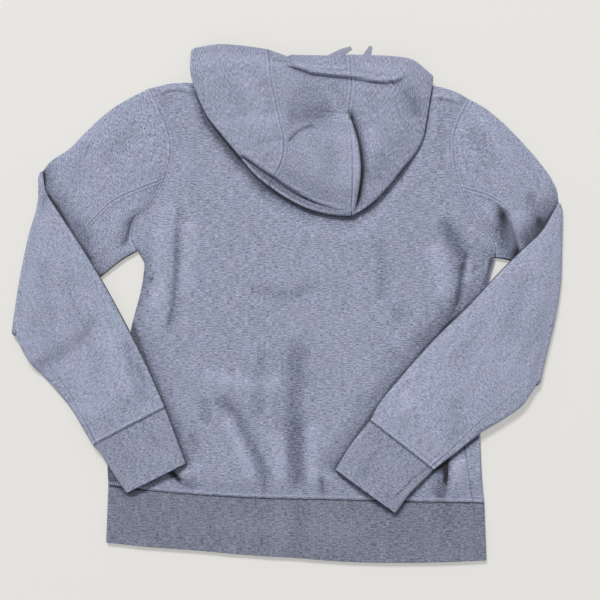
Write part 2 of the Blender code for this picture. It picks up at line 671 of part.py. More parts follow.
def hood_under_z(x, y):
    """The middle of the hood's under layer, which sinks past the shoulders' top edge."""
    rows = [*SHOULDER_LEFT, *SHOULDER_RIGHT]
    past = y - np.interp(x, [p.x for p in rows], [p.y for p in rows])
    return HOOD_Z + neck_lift(x, y, 0.035) - (HOOD_Z - 0.003) * ease((past - 0.012) / 0.023)


def hood_side(side):
    """One side of the hood: its under layer, the fold, the upper layer and the part inside the throat."""
    if side < 0:
        fold, rim, over, under = HOOD_FOLD_LEFT, RIM_LEFT, SEAM_OVER_LEFT, SEAM_UNDER_LEFT
        nape, throat, rim_under = NAPE_LEFT, THROAT_LEFT, RIM_UNDER_LEFT
    else:
        fold, rim, over, under = HOOD_FOLD_RIGHT, RIM_RIGHT, SEAM_OVER_RIGHT, SEAM_UNDER_RIGHT
        nape, throat, rim_under = NAPE_RIGHT, THROAT_RIGHT, RIM_UNDER_RIGHT
    edge = moved(smooth(fold), -side * CLOTH / 2)
    seam_over = moved(smooth(over), side * GAP / 2)
    seam_under = moved(smooth(under), side * GAP / 2)
    nape_line = smooth(nape)

    def layer(seam, rim_line, flat):
        starts = [HOOD_FOLD / np.linalg.norm(seam(w) - edge(w)) for w in HOOD_ROWS]
        us = [[start + share * (1 - start) for share in flat] for start in starts]
        vs = [[w] * len(flat) for w in HOOD_ROWS]
        return filled(edge, seam, rim_line, straight(edge(1.0), seam(1.0)), us, vs)

    first_start = HOOD_FOLD / np.linalg.norm(seam_under(0.0) - edge(0.0))
    corner = first_start + UNDER_FLAT[NECK_COLUMN] * (1 - first_start)
    under_rim = end_to_end((straight(edge(0.0), nape_line(0.0)), nape_line), (corner, 1.0))
    rim_first = smooth(rim)
    low = layer(seam_under, under_rim, UNDER_FLAT)
    over_rim = lambda u: rim_first(u) + (1 - u) * (edge(0.0) - rim_first(0.0))
    high = layer(seam_over, over_rim, (0.0, *OVER_FLAT))
    rows = []
    for i, w in enumerate(HOOD_ROWS):
        row = [(*xy, hood_under_z(*xy)) for xy in low[i][::-1]]
        base = row[-1][2]
        outer = edge(w)
        for inset, rise in HOOD_ROLL[:2]:
            xy = outer + (low[i][0] - outer) * inset
            row.append((*xy, base + rise * HOOD_FOLD))
        for inset, rise in HOOD_ROLL[2:]:
            xy = outer + (high[i][0] - outer) * inset
            row.append((*xy, base + rise * HOOD_FOLD))
        for xy in high[i][1:]:
            lift = HOOD_CROWN * ease(np.linalg.norm(xy - outer) / 0.05)
            row.append((*xy, base + 2 * HOOD_FOLD + lift + crease_height(HOOD_CREASES, *xy)))
        rows.append(row)
    rows = np.array(rows)
    throat_line, rim_line = smooth(throat), smooth(rim_under)
    first = [low[0][k] for k in range(NECK_COLUMN, -1, -1)]
    shares = [k / NECK_COLUMN for k in range(NECK_COLUMN + 1)]
    inner = fitted(throat_line, first[0], throat_line(1.0))
    outer = fitted(rim_line, first[-1], rim_line(1.0))
    plan = filled(
        inner,
        outer,
        lambda share: first[round(share * NECK_COLUMN)],
        straight(inner(1.0), outer(1.0)),
        [shares] * len(THROAT_ROWS),
        [[t] * len(shares) for t in THROAT_ROWS],
    )
    flap = []
    for i, t in enumerate(THROAT_ROWS):
        sink = ease(t / 0.10)
        row = []
        for j in range(len(shares)):
            row.append((*plan[i, j], hood_under_z(*first[j]) * (1 - sink) + THROAT_Z * sink))
        flap.append(row)
    return rows, np.array(flap)


def seam_points(grid):
    """The edge of a hood side along the centre strip: over, round the crown's fold and back under."""
    turn = len(UNDER_FLAT)
    crown = grid[-1, turn - 1 : turn + 4]
    return np.array([*grid[:, -1], *crown[::-1], *grid[::-1, 0]])


def hood_strip(left, right):
    """The centre strip, between the seam edges of the two sides."""
    lefts, rights = seam_points(left), seam_points(right)
    count = len(HOOD_ROWS)
    depth = [*HOOD_ROWS, *[1.0] * (len(lefts) - 2 * count), *HOOD_ROWS[::-1]]
    rows = []
    for k, (a, b) in enumerate(zip(lefts, rights)):
        way = (b - a) / np.linalg.norm(b - a)
        slit = GAP + 0.0008 * depth[k] ** 4
        a, b = a + way * slit, b - way * slit
        row = []
        for share in (0.0, 0.25, 0.5, 0.75, 1.0):
            point = a + share * (b - a)
            point[1] -= CROWN_SAG * 4 * share * (1 - share) * depth[k] ** 2
            if k < count:
                point[1] -= np.interp(share, *zip(*RIM_DIP)) * max(0.0, 1 - depth[k] / RIM_REACH)
            if k < count and 0.0 < share < 1.0:
                point[2] += crease_height(HOOD_CREASES, point[0], point[1])
                point[2] -= (1 - share) * crease_height(HOOD_CREASES, a[0], a[1])
                point[2] -= share * crease_height(HOOD_CREASES, b[0], b[1])
            row.append(point)
        rows.append(row)
    return rows


# ---------------------------------------------------------------- zip and drawstring


def on_zip(across, along, height):
    """A point given by its place on the zip: across it, along it from the hem, and above the floor."""
    way = (ZIP_HEAD - ZIP_FOOT) / ZIP_LENGTH
    xy = ZIP_FOOT + way * along + np.array([way[1], -way[0]]) * across
    return (*xy, height)


def zip_height(along):
    """The middle of the tape, which the slider lifts."""
    near = ease((along - SLIDER_AT + 0.045) / 0.035)
    return CLOTH + 0.0007 + TAPE / 2 + SLIDER_LIFT * near


def zip_strip(name, inner, outer, start, end, thickness, finish):
    stops = [start, *[s for s in np.linspace(SLIDER_AT - 0.045, SLIDER_AT - 0.010, 5)], end]
    rows = [[on_zip(inner, s, zip_height(s)), on_zip(outer, s, zip_height(s))] for s in stops]
    return cloth(name, [rows], thickness, finish)


def block(mesh, across, along, height):
    """Adds a box on the zip to a bmesh; each pair is a low and a high limit."""
    made = bmesh.ops.create_cube(mesh, size=1.0)
    for vert in made["verts"]:
        vert.co = on_zip(
            across[0] + (vert.co.x + 0.5) * (across[1] - across[0]),
            along[0] + (vert.co.y + 0.5) * (along[1] - along[0]),
            height[0] + (vert.co.z + 0.5) * (height[1] - height[0]),
        )


def united(name, pieces, finish):
    """Overlapping boxes made one solid."""
    made = []
    for number, piece in enumerate(pieces):
        mesh = bmesh.new()
        block(mesh, *piece)
        made.append(finished(name if number == 0 else f"{name}_tool_{number}", mesh, finish))
    for tool in made[1:]:
        join = made[0].modifiers.new("Join", "BOOLEAN")
        join.operation = "UNION"
        join.solver = "EXACT"
        join.object = tool
        tool.hide_render = True
        tool.display_type = "WIRE"
    return made[0]


PULL_Z = 0.0012


def zip_slider(finish):
    """Two plates round the teeth, a post between them and a small bridge for the pull tab."""
    s = SLIDER_AT
    return united(
        "zip_slider",
        [
            ((-0.0048, 0.0048), (s - 0.0055, s + 0.0055), (0.0025, 0.0032)),
            ((-0.0048, 0.0048), (s - 0.0055, s + 0.0055), (0.0056, 0.0063)),
            ((-0.0012, 0.0012), (s + 0.0030, s + 0.0055), (0.0028, 0.0060)),
            ((-0.0014, 0.0014), (s - 0.0042, s - 0.0030), (0.00005, 0.0028)),
            ((-0.0014, 0.0014), (s + 0.0030, s + 0.0042), (0.00005, 0.0028)),
            ((-0.0014, 0.0014), (s - 0.0040, s + 0.0040), (0.00005, 0.00055)),
        ],
        finish,
    )


def zip_pull(finish):
    """The pull tab: a bar under the bridge, two arms and a plate towards the hem."""
    s = SLIDER_AT
    low, high = PULL_Z - 0.00045, PULL_Z + 0.00045
    tab = united(
        "zip_pull",
        [
            ((-0.0036, 0.0036), (s - 0.00045, s + 0.00045), (low, high)),
            ((-0.0036, -0.0021), (s - 0.0100, s + 0.00035), (low, high)),
            ((0.0021, 0.0036), (s - 0.0100, s + 0.00035), (low, high)),
            ((-0.0036, 0.0036), (s - 0.0300, s - 0.0090), (low, high)),
        ],
        finish,
    )
    hinge = Vector(on_zip(0.0, s, PULL_Z))
    tab.data.transform(Matrix.Translation(-hinge))
    tab.location = hinge
    return tab


def eyelet(name, centre, finish):
    """A flat metal ring just under the cloth, where the drawstring comes out."""
    mesh = bmesh.new()
    low, high = CLOTH - 0.0004, CLOTH + 0.0001
    inside, outside = 0.0034, 0.0060
    section = ((inside, low), (outside, low), (outside, high), (inside, high))
    profile = [mesh.verts.new((radius, 0.0, z)) for radius, z in section]
    for a, b in zip(profile, profile[1:] + profile[:1]):
        mesh.edges.new((a, b))
    bmesh.ops.spin(
        mesh, geom=[*mesh.verts, *mesh.edges], cent=(0, 0, 0), axis=(0, 0, 1), angle=2 * math.pi, steps=20,
        use_merge=True,
    )
    bmesh.ops.recalc_face_normals(mesh, faces=mesh.faces)
    bmesh.ops.translate(mesh, verts=mesh.verts, vec=(centre[0] * MM, centre[1] * MM, 0.0))
    made = finished(name, mesh, finish)
    made.data.shade_smooth()
    made.data.set_sharp_from_angle(angle=math.radians(40))
    return made


def drawstring(name, route, finish):
    """A flat cord on the floor, narrowing at its tip."""
    line = smooth(route)
    length = sum(math.dist(a, b) for a, b in zip(route, route[1:]))
    count = round(length / CORD_STEP)
    data = bpy.data.curves.new(name, "CURVE")
    data.dimensions = "3D"
    data.fill_mode = "FULL"
    data.use_fill_caps = True
    data.extrude = CORD_WIDTH / 2 - CORD_THICK / 2
    data.bevel_depth = CORD_THICK / 2
    data.bevel_resolution = 2
    spline = data.splines.new("POLY")
    spline.points.add(count)
    for k, point in enumerate(spline.points):
        point.co = (*line(k / count), CORD_Z, 1.0)
        point.tilt = math.pi / 2
        point.radius = 1.0 - 0.45 * ease((k / count - 0.9) / 0.1)
    data.materials.append(finish)
    made = bpy.data.objects.new(name, data)
    bpy.context.collection.objects.link(made)
    return made


def main():
    for old in list(bpy.data.objects):
        bpy.data.objects.remove(old)
    jersey = material("jersey", (0.31, 0.33, 0.45), 0.95)
    rib = material("rib", (0.29, 0.31, 0.43), 0.95)
    tape = material("zip_tape", (0.27, 0.29, 0.40), 0.85)
    nickel = material("nickel", (0.62, 0.61, 0.59), 0.32, 1.0)
    cord = material("cord", (0.33, 0.34, 0.45), 0.9)

    back = back_panel()
    fronts = {side: front_panel(side) for side in (-1, 1)}
    cloth("back", [back], CLOTH, jersey)
    cloth("front_left", fronts[-1], CLOTH, jersey)
    cloth("front_right", fronts[1], CLOTH, jersey)
    cloth("waistband", [waistband()], RIB, rib)
    for side, word, arm in ((-1, "left", ARM_LEFT), (1, "right", ARM_RIGHT)):
        stations = sleeve_stations(arm, armhole_ring(side, back, fronts[side][0]))
        for part in ("main", "under"):
            cloth(f"sleeve_{word}_{part}", [[ring(side, arm, s, part) for s in stations]], CLOTH, jersey)
        cloth(f"cuff_{word}", [cuff(side, arm)], RIB, rib)
    left, left_throat = hood_side(-1)
    right, right_throat = hood_side(1)
    cloth("hood_left", [left, left_throat], CLOTH, jersey)
    cloth("hood_right", [right, right_throat], CLOTH, jersey)
    cloth("hood_center", [hood_strip(left, right)], CLOTH, jersey)

    zip_strip("zip_tape_left", -0.015, -0.0028, 0.003, ZIP_LENGTH, TAPE, tape)
    zip_strip("zip_tape_right", 0.0028, 0.015, 0.003, ZIP_LENGTH, TAPE, tape)
    zip_strip("zip_chain", -0.0025, 0.0025, 0.0125, SLIDER_AT + 0.002, TEETH, nickel)
    zip_slider(nickel)
    zip_pull(nickel)
    middle = zip_height(0.0)
    united("zip_box", [((-0.0025, 0.0025), (0.003, 0.012), (middle - 0.0014, middle + 0.0011))], nickel)
    lifted = middle + SLIDER_LIFT
    stop = ((-0.0024, 0.0024), (SLIDER_AT + 0.007, SLIDER_AT + 0.0095), (lifted - 0.001, lifted + 0.001))
    united("zip_stop", [stop], nickel)
    eyelet("eyelet_left", EYELET_LEFT, nickel)
    eyelet("eyelet_right", EYELET_RIGHT, nickel)
    drawstring("drawstring_left", CORD_LEFT, cord)
    drawstring("drawstring_right", CORD_RIGHT, cord)


main()
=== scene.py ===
# %% [markdown]
# # A zip-up hoodie, laid out face down
#
# This script dresses a hoodie that lies flat on its front. The solids in the frame already have the
# garment's true shape: panels about 2 mm thick, sewn edge to edge, with both sleeves folded over the
# back. Here each panel is made again as a finer sheet of cloth, with soft creases, stitched seams,
# a heathered knit, ribbed cuffs and a real zip, in the same places and at the same size.

# %% The fixed frame
import math
from collections import namedtuple
from functools import lru_cache

import bmesh
import bpy
import numpy as np
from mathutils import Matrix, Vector, noise


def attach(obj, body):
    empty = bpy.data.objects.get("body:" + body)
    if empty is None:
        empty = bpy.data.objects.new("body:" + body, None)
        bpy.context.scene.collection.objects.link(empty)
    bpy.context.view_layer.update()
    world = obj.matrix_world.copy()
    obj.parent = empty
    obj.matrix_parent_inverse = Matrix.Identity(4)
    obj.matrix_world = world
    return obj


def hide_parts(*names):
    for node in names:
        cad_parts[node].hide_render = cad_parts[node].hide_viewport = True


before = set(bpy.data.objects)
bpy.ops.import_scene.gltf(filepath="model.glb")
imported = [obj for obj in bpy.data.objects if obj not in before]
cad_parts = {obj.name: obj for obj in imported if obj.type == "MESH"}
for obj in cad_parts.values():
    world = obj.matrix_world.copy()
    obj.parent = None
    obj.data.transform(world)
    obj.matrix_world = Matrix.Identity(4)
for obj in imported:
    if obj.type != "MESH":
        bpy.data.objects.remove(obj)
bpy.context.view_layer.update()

# %% [markdown]
# The camera looks straight down from about two metres, as when a garment is laid out and drawn from
# above. A long lens keeps the sleeves from leaning outwards. It comes before the pieces.

# %% Camera
VIEW_WIDTH = 0.804
VIEW_MIDDLE = (0.0174, 0.0040)
LENS = 85.0
SENSOR = 36.0
lens = bpy.data.cameras.new("Camera")
lens.sensor_width = SENSOR
lens.lens = LENS
camera = bpy.data.objects.new("Camera", lens)
camera.location = (*VIEW_MIDDLE, VIEW_WIDTH * LENS / SENSOR)
bpy.context.collection.objects.link(camera)
bpy.context.scene.camera = camera
print("camera height:", round(camera.location.z, 3), "m")

# %% [markdown]
# All sizes are in metres. The walls are as thick as sweatshirt jersey and rib, and two layers that
# lie on each other are joined by a fold of a small radius, just as pressed cloth folds. A height is
# always that of the middle of a wall. Left is side -1 and right is side 1, as seen from above.

# %% Sizes
MM = 0.001
SIDES = ((-1, "left"), (1, "right"))
CLOTH = 0.0020  # the jersey's wall
RIB = 0.0024  # the rib's wall
FOLD = 0.0022  # the radius of a pressed fold
HOOD_FOLD = 0.0035  # the radius of the hood's softer fold
GAP = 0.0003  # between two pieces at a seam
FRONT_Z = CLOTH / 2
BACK_Z = FRONT_Z + 2 * FOLD
SLEEVE_Z = FRONT_Z + FOLD  # half way between a sleeve's two layers
FOREARM_LIFT = 0.0070  # a forearm's rise where it lies on the upper arm or the body
CROWN = 0.0048  # the air under the middle of the back
ARMPIT_AT = 0.58  # the armpit's share of a body panel's side, from the waist up
# A trough this deep gets the full shade painted into the cloth's colour.
HOLLOW_DEPTH = 0.0021  # a trough this deep counts as fully hollow
STITCHED = 0.0025  # from a seam to its row of stitches
print("a pressed double layer is", round(2 * FOLD + CLOTH, 4), "m thick")

# %% [markdown]
# The cut of the garment is kept as outlines: short tables of points in millimetres, each running up
# the garment or from left to right. A pattern cutter would draw the same few points and join them
# with a smooth line.

# %% Outlines of the body
Point = namedtuple("Point", "x y")


def table(*rows):
    """Points of a line, from millimetres to metres."""
    return [Point(x * MM, y * MM) for x, y in rows]


SIDE_LEFT = table((-239, -244), (-240, -214), (-232, -170), (-224, -123), (-209, -36), (-192, 38),
                  (-191, 53), (-200, 70))
ARMHOLE_LEFT = table((-200, 70), (-206, 84), (-206, 100), (-198, 118), (-186, 130), (-170, 154),
                     (-161, 178), (-156, 205), (-159, 229), (-168, 253), (-184, 287))
SIDE_RIGHT = table((264, -263), (261, -230), (259, -184), (259, -130), (263, -29), (266, 11), (279, 62))
ARMHOLE_RIGHT = table((279, 62), (277, 80), (267, 98), (255, 111), (243, 131), (233, 155), (226, 177),
                      (223, 198), (224, 228), (232, 249), (244, 272))
SHOULDER_LEFT = table((-184, 287), (-154, 293), (-127, 294), (-56, 296))
BACK_NECK = table((-56, 296), (-34, 285), (-3, 277), (31, 275), (64, 277), (95, 285), (118, 296))
SHOULDER_RIGHT = table((118, 296), (165, 295), (205, 288), (232, 279), (244, 272))
FRONT_NECK_LEFT = table((-56, 296), (-50, 265), (-34, 239), (-9, 218), (20, 209))
FRONT_NECK_RIGHT = table((36, 209), (66, 218), (87, 239), (105, 265), (118, 296))
WAIST = table((-239, -244), (-150, -253), (-63, -259), (78, -262.5), (170, -265), (264, -266.5))
HEM = table((-242, -320), (-184, -326), (-117, -331), (-50, -337), (17, -341), (66, -345),
            (178, -347), (267, -344))
print("hem:", round(HEM[-1].x - HEM[0].x, 3), "m wide")

# %% Outlines of the sleeves
Arm = namedtuple("Arm", "outward armhole outer under fold fore_top fore_low cuff_top cuff_low")
ARM_LEFT = Arm(
    outward=(-0.99, -0.12),
    armhole=ARMHOLE_LEFT,
    outer=table((-184, 287), (-210, 274), (-237, 257), (-264, 233), (-291, 206), (-318, 187), (-326, 176)),
    under=table((-200, 70), (-224, 55), (-249, 35), (-304, -3), (-362, -44)),
    fold=table((-326, 176), (-326, 138), (-339, 88), (-351, 29), (-362, -44)),
    fore_top=table((-326, 176), (-322, 151), (-304, 121), (-277, 80), (-249, 35), (-217, -23),
                   (-184, -88), (-162, -138)),
    fore_low=table((-362, -44), (-342, -80), (-318, -106), (-291, -138), (-271, -168), (-259, -189)),
    cuff_top=table((-162, -138), (-150, -170), (-143, -189), (-134, -213)),
    cuff_low=table((-259, -189), (-251, -197), (-240, -214), (-226, -236), (-214, -253)),
)
ARM_RIGHT = Arm(
    outward=(0.995, -0.10),
    armhole=ARMHOLE_RIGHT,
    outer=table((244, 272), (259, 264), (285, 244), (312, 217), (339, 186), (352, 168), (360, 151),
                (362, 134)),
    under=table((279, 62), (299, 56), (314, -9), (331, -111)),
    fold=table((362, 134), (361, 78), (359, 24), (351, -25), (340, -70), (331, -111)),
    fore_top=table((362, 134), (339, 96), (312, 70), (285, 43), (245, 0), (192, -52), (145, -105),
                   (122, -133), (110, -155)),
    fore_low=table((331, -111), (312, -138), (285, -157), (259, -173), (228, -198), (196, -222)),
    cuff_top=table((110, -155), (98, -170), (84, -188), (71, -209), (64, -221)),
    cuff_low=table((196, -222), (178, -240), (165, -253), (145, -280)),
)
ARMS = {-1: ARM_LEFT, 1: ARM_RIGHT}
print("elbows from", ARM_LEFT.fold[-1].x, "to", ARM_RIGHT.fold[0].x, "m")

# %% Outlines of the hood
Hood = namedtuple("Hood", "fold rim rim_under seam_over seam_under nape throat")
HOOD_LEFT = Hood(
    fold=table((-128, 340), (-129, 310), (-125, 291), (-118, 273), (-106, 248), (-88, 225), (-64, 196),
               (-43, 171), (-25, 156)),
    rim=table((-128, 340), (-96, 344), (-63, 342), (-25, 337)),
    rim_under=table((-128, 340), (-83, 332), (-34, 315), (-4, 285), (13, 252), (22, 214)),
    seam_over=table((-25, 337), (-20, 292), (-11, 248), (-4, 215), (-8, 185), (-21, 164)),
    seam_under=table((-3, 279), (-9, 239), (-16, 198), (-22, 165)),
    nape=table((-46, 307), (-29, 291), (-3, 279)),
    throat=table((-46, 307), (-37, 297), (-36, 272), (-32, 242), (-12, 215), (21, 204)),
)
HOOD_RIGHT = Hood(
    fold=table((196, 304), (190, 268), (186, 243), (181, 218), (170, 198), (155, 180), (135, 155),
               (111, 131), (87, 116)),
    rim=table((196, 304), (172, 321), (145, 326), (111, 328), (83, 329)),
    rim_under=table((196, 304), (145, 322), (90, 315), (60, 285), (43, 252), (34, 214)),
    seam_over=table((83, 329), (86, 290), (82, 251), (86, 208), (87, 158), (86, 125)),
    seam_under=table((64, 279), (71, 225), (78, 172), (84, 125)),
    nape=table((108, 307), (91, 291), (64, 279)),
    throat=table((108, 307), (99, 297), (96, 272), (88, 242), (69, 216), (35, 204)),
)
print("hood:", round(HOOD_RIGHT.rim[0].x - HOOD_LEFT.rim[0].x, 3), "m wide at its rim")

# %% [markdown]
# The zip is a straight line, so two ends are enough, and a place on it is given by how far along and
# how far across it lies. Each end of the drawstring is a route of points from its eyelet to its tip.

# %% Lines of the zip and the drawstring
ZIP_FOOT = np.array([0.0180, -0.3440])
ZIP_HEAD = np.array([0.0288, 0.2010])
ZIP_LENGTH = float(np.linalg.norm(ZIP_HEAD - ZIP_FOOT))
ZIP_HALF = 0.008  # from the middle of the zip to the edge of a front
SLIDER_AT = ZIP_LENGTH - 0.012
CORD_WIDTH = 0.0090
CORD_THICK = 0.0012
CORD_Z = 0.0007
CORD_ROUTES = {
    "left": table((1, 234), (2, 243), (9, 262), (21, 284), (34, 304), (46, 319), (59, 329), (73, 336),
                  (86, 342)),
    "right": table((55, 234), (58, 244), (67, 262), (79, 284), (90, 302), (99, 317), (105, 329),
                   (110, 338), (112, 344)),
}


def by_zip(across, along):
    """A point in plan, given by its place across the zip and along it from the hem."""
    way = (ZIP_HEAD - ZIP_FOOT) / ZIP_LENGTH
    return ZIP_FOOT + way * along + np.array([way[1], -way[0]]) * across


print("zip length:", round(ZIP_LENGTH, 3), "m")

# %% [markdown]
# The tables need a few helpers. A line becomes a function from 0 to 1 along its length, so that it
# can be read as finely as the cloth needs. Four such lines, joined at their corners, hold a panel,
# and every point inside is a mixture of the four. That is how a flat pattern is eased into place.

# %% Lines
def smooth(rows):
    """A smooth line through the rows, as a function of 0..1 along its length."""
    points = np.array(rows, float)
    steps = np.linalg.norm(np.diff(points, axis=0), axis=1)
    knots = np.concatenate([[0.0], np.cumsum(steps)]) / steps.sum()
    slopes = np.gradient(points, knots, axis=0)

    @lru_cache(maxsize=None)
    def at(t):
        t = min(max(t, 0.0), 1.0)
        k = min(int(np.searchsorted(knots, t, "right")) - 1, len(knots) - 2)
        span = knots[k + 1] - knots[k]
        s = (t - knots[k]) / span
        return (
            (1 + 2 * s) * (1 - s) ** 2 * points[k]
            + s * (1 - s) ** 2 * span * slopes[k]
            + s * s * (3 - 2 * s) * points[k + 1]
            - s * s * (1 - s) * span * slopes[k + 1]
        )

    return at


def end_to_end(lines, shares):
    """Several lines made one, each of them ending at its share of the whole."""
    starts = [0.0, *shares[:-1]]

    def at(t):
        for line, start, share in zip(lines, starts, shares):
            if t <= share + 1e-9:
                return line((t - start) / (share - start))
        return lines[-1](1.0)

    return at


def unit(way):
    """A direction, with its length made 1."""
    return way / np.linalg.norm(way)


def moved(line, distance):
    """The line moved sideways, to its left, by a distance."""

    @lru_cache(maxsize=None)
    def at(t):
        way = unit(line(min(t + 0.01, 1.0)) - line(max(t - 0.01, 0.0)))
        return line(t) + distance * np.array([-way[1], way[0]])

    return at


def straight(a, b):
    """The straight line between two points."""
    return lambda t: a + t * (b - a)


def fitted(line, start, end):
    """The line, shifted and stretched a little so that it runs from start to end."""
    first, last = start - line(0.0), end - line(1.0)
    return lru_cache(maxsize=None)(lambda t: line(t) + (1 - t) * first + t * last)


def ease(t):
    """0 up to t = 0, 1 from t = 1, and smooth between. It takes numbers and arrays."""
    t = np.clip(t, 0.0, 1.0)
    return t * t * (3 - 2 * t)


def filled(left, right, bottom, top, us, vs):
    """A grid of points inside four edge lines; us and vs say how far across and up each point is."""
    grid = np.zeros((*np.shape(us), 2))
    first, second, third, fourth = bottom(0.0), bottom(1.0), top(0.0), top(1.0)
    for i, j in np.ndindex(np.shape(us)):
        u, v = us[i][j], vs[i][j]
        ruled = (1 - u) * left(v) + u * right(v) + (1 - v) * bottom(u) + v * top(u)
        grid[i, j] = ruled - (1 - v) * ((1 - u) * first + u * second) - v * ((1 - u) * third + u * fourth)
    return grid


def stops(start, *runs):
    """Values from start on: each run is a number of even steps and where they end."""
    found = [float(start)]
    for count, end in runs:
        found += [float(v) for v in np.linspace(found[-1], end, count + 1)[1:]]
    return tuple(found)


print("middle of the hem:", smooth(HEM)(0.5).round(3), "m")

# %% [markdown]
# Creases give laid cloth its life. Each one here is a line of points with a half width and a height:
# a height below zero is a trough and above zero a ridge. They fade at both ends.

# %% Creases
Crease = namedtuple("Crease", "half height points")
CREASE_STEPS = 60


def traced(line, steps):
    """Points at even shares along a line."""
    return np.array([line(t) for t in np.linspace(0.0, 1.0, steps + 1)])


def creases(*rows):
    """Creases from rows of half width and height in millimetres, then the points of the line."""
    return [Crease(half * MM, height * MM, table(*points)) for half, height, *points in rows]


def relief(xy, folds):
    """How far the creases lift the cloth at each point of an array of points."""
    total = np.zeros(xy.shape[:-1])
    for fold in folds:
        path = traced(smooth(fold.points), CREASE_STEPS)
        low, high = path.min(axis=0) - 3 * fold.half, path.max(axis=0) + 3 * fold.half
        near = np.all((xy > low) & (xy < high), axis=-1)
        if not near.any():
            continue
        gaps = np.linalg.norm(xy[near][:, None, :] - path, axis=-1)
        nearest = gaps.argmin(axis=-1)
        t = nearest / CREASE_STEPS
        fade = ease(t / 0.16 + 0.12) * ease((1 - t) / 0.16 + 0.12)
        total[near] += fold.height * fade * np.exp(-((gaps.min(axis=-1) / fold.half) ** 2))
    return total


def shadows(xy, rows):
    """Soft dark marks painted into the cloth's colour, most of them the shade of deep folds, from rows of
    half width in millimetres, depth and points.
    """
    return relief(xy, creases(*rows)) / MM


def painted_shading_of(height):
    """The shade that a fold's height paints into the cloth's colour: 1 in a deep trough, below zero, painted
    lighter, on a ridge.
    """
    return np.clip(-height / HOLLOW_DEPTH, -0.7, 2.0)


print("a ridge of 1 mm is hollow by", round(float(painted_shading_of(MM)), 2))

# %% [markdown]
# Where cloth folds over onto itself, a crease isn't enough: the cloth drops steeply on one side of the
# line and comes back slowly. So these rows give a line whose left side lies lower, with a small lip.

# %% Folded-over edges
Fold = namedtuple("Fold", "drop reach lip step points")
BESIDE_STEPS = 120


def beside(line, xy):
    """How far points lie to the left of a line (below zero to its right), and how far along it."""
    path = traced(line, BESIDE_STEPS)
    ways = np.gradient(path, axis=0)
    ways /= np.linalg.norm(ways, axis=1)[:, None]
    offset = xy[..., None, :] - path
    nearest = (offset**2).sum(axis=-1).argmin(axis=-1)
    near = np.take_along_axis(offset, nearest[..., None, None], axis=-2)[..., 0, :]
    way = ways[nearest]
    return way[..., 0] * near[..., 1] - way[..., 1] * near[..., 0], nearest / BESIDE_STEPS


def folds(*rows):
    """Folded-over edges from rows of drop, reach, lip and step in millimetres, then the line's points."""
    return [Fold(*(size * MM for size in row[:4]), table(*row[4:])) for row in rows]


def overlaps(xy, rows):
    """The cloth drops to the left of each line, recovers over its reach, and is raised at its lip."""
    total = np.zeros(xy.shape[:-1])
    for fold in rows:
        path = np.array(fold.points)
        margin = 3 * fold.reach + 6 * MM
        near = np.all((xy > path.min(axis=0) - margin) & (xy < path.max(axis=0) + margin), axis=-1)
        if not near.any():
            continue
        left, t = beside(smooth(fold.points), xy[near])
        fade = ease(t / 0.14) * ease((1 - t) / 0.14)
        sink = ease(left / fold.step) * np.exp(-((np.maximum(left, 0.0) / fold.reach) ** 2))
        lip = np.exp(-(((left + 2 * fold.step) / (2.6 * fold.step)) ** 2)) * (left < fold.step)
        ends = np.linalg.norm(xy[near] - np.where((t < 0.5)[:, None], path[0], path[-1]), axis=-1)
        fade = fade * np.where((t <= 0.0) | (t >= 1.0), ease(1 - ends / 0.01), 1.0)
        total[near] += fade * (fold.lip * lip - fold.drop * sink)
    return total


# %% [markdown]
# Two more things stop cloth from looking like paper. It wanders up and down everywhere by a little,
# and at a seam the edge turns in, so that the cloth is full under the stitches and pinched beside
# them. Both come from Blender's own noise, which gives the same values each time.

# %% Unevenness and welts
WELT_HEIGHT = 0.0007
WELT_HALF = 0.0012
GROOVE_DEPTH = 0.0004
GROOVE_HALF = 0.0008
PUCKERS = 150.0  # steps of the noise in a metre of seam


def wander(xy, size, height, seed):
    """A slow, uneven rise and fall of the cloth."""
    flat = xy.reshape(-1, 2) / size
    found = [noise.noise(Vector((x, y, seed))) for x, y in flat]
    return height * np.array(found).reshape(xy.shape[:-1])


def welt(distance, pitch, seed):
    """A seam turns down at its edge, with a full puckered band under its stitches: height, and a shade
    painted dark in the groove and light on the band.
    """
    puckers = np.array([noise.noise(Vector((x * PUCKERS, 0.0, seed))) for x in pitch.reshape(-1)])
    pull = 1 + 0.7 * puckers.reshape(pitch.shape)
    full = pull * np.exp(-(((distance - STITCHED) / WELT_HALF) ** 2))
    beyond = 0.3 * np.exp(-(((distance - 2 * STITCHED) / 0.0011) ** 2))
    groove = np.exp(-((distance / GROOVE_HALF) ** 2)) + beyond
    # The second value is painted: shade in the seam's groove, a highlight on the full band.
    return WELT_HEIGHT * full - GROOVE_DEPTH * groove, groove - 0.5 * full


# %% [markdown]
# A panel is first a grid of points: rows along the garment, columns across it. Each point is an x, a
# y and the height of the middle of the wall, and some have a fourth number: the shade painted into
# the cloth's colour there, darker in folds, seams and beside what lies on the cloth, lighter on
# ridges and welts. Distances along the grid's rows and columns give the flat cut that a tailor would lay
# out.

# %% Grids of points
def lengths(points, axis):
    """Distance along the rows or the columns of a grid, from its first point."""
    steps = np.linalg.norm(np.diff(points[..., :3], axis=axis), axis=-1)
    before = [(1, 0), (0, 0)] if axis == 0 else [(0, 0), (1, 0)]
    return np.cumsum(np.pad(steps, before), axis=axis)


def outside(xy, corners):
    """How far points lie outside a shape with straight sides; its corners turn to the left."""
    found = np.full(xy.shape[:-1], -1.0)
    for start, end in zip(corners, (*corners[1:], corners[0])):
        way = unit(np.subtract(end, start))
        found = np.maximum(found, way[1] * (xy[..., 0] - start[0]) - way[0] * (xy[..., 1] - start[1]))
    return found


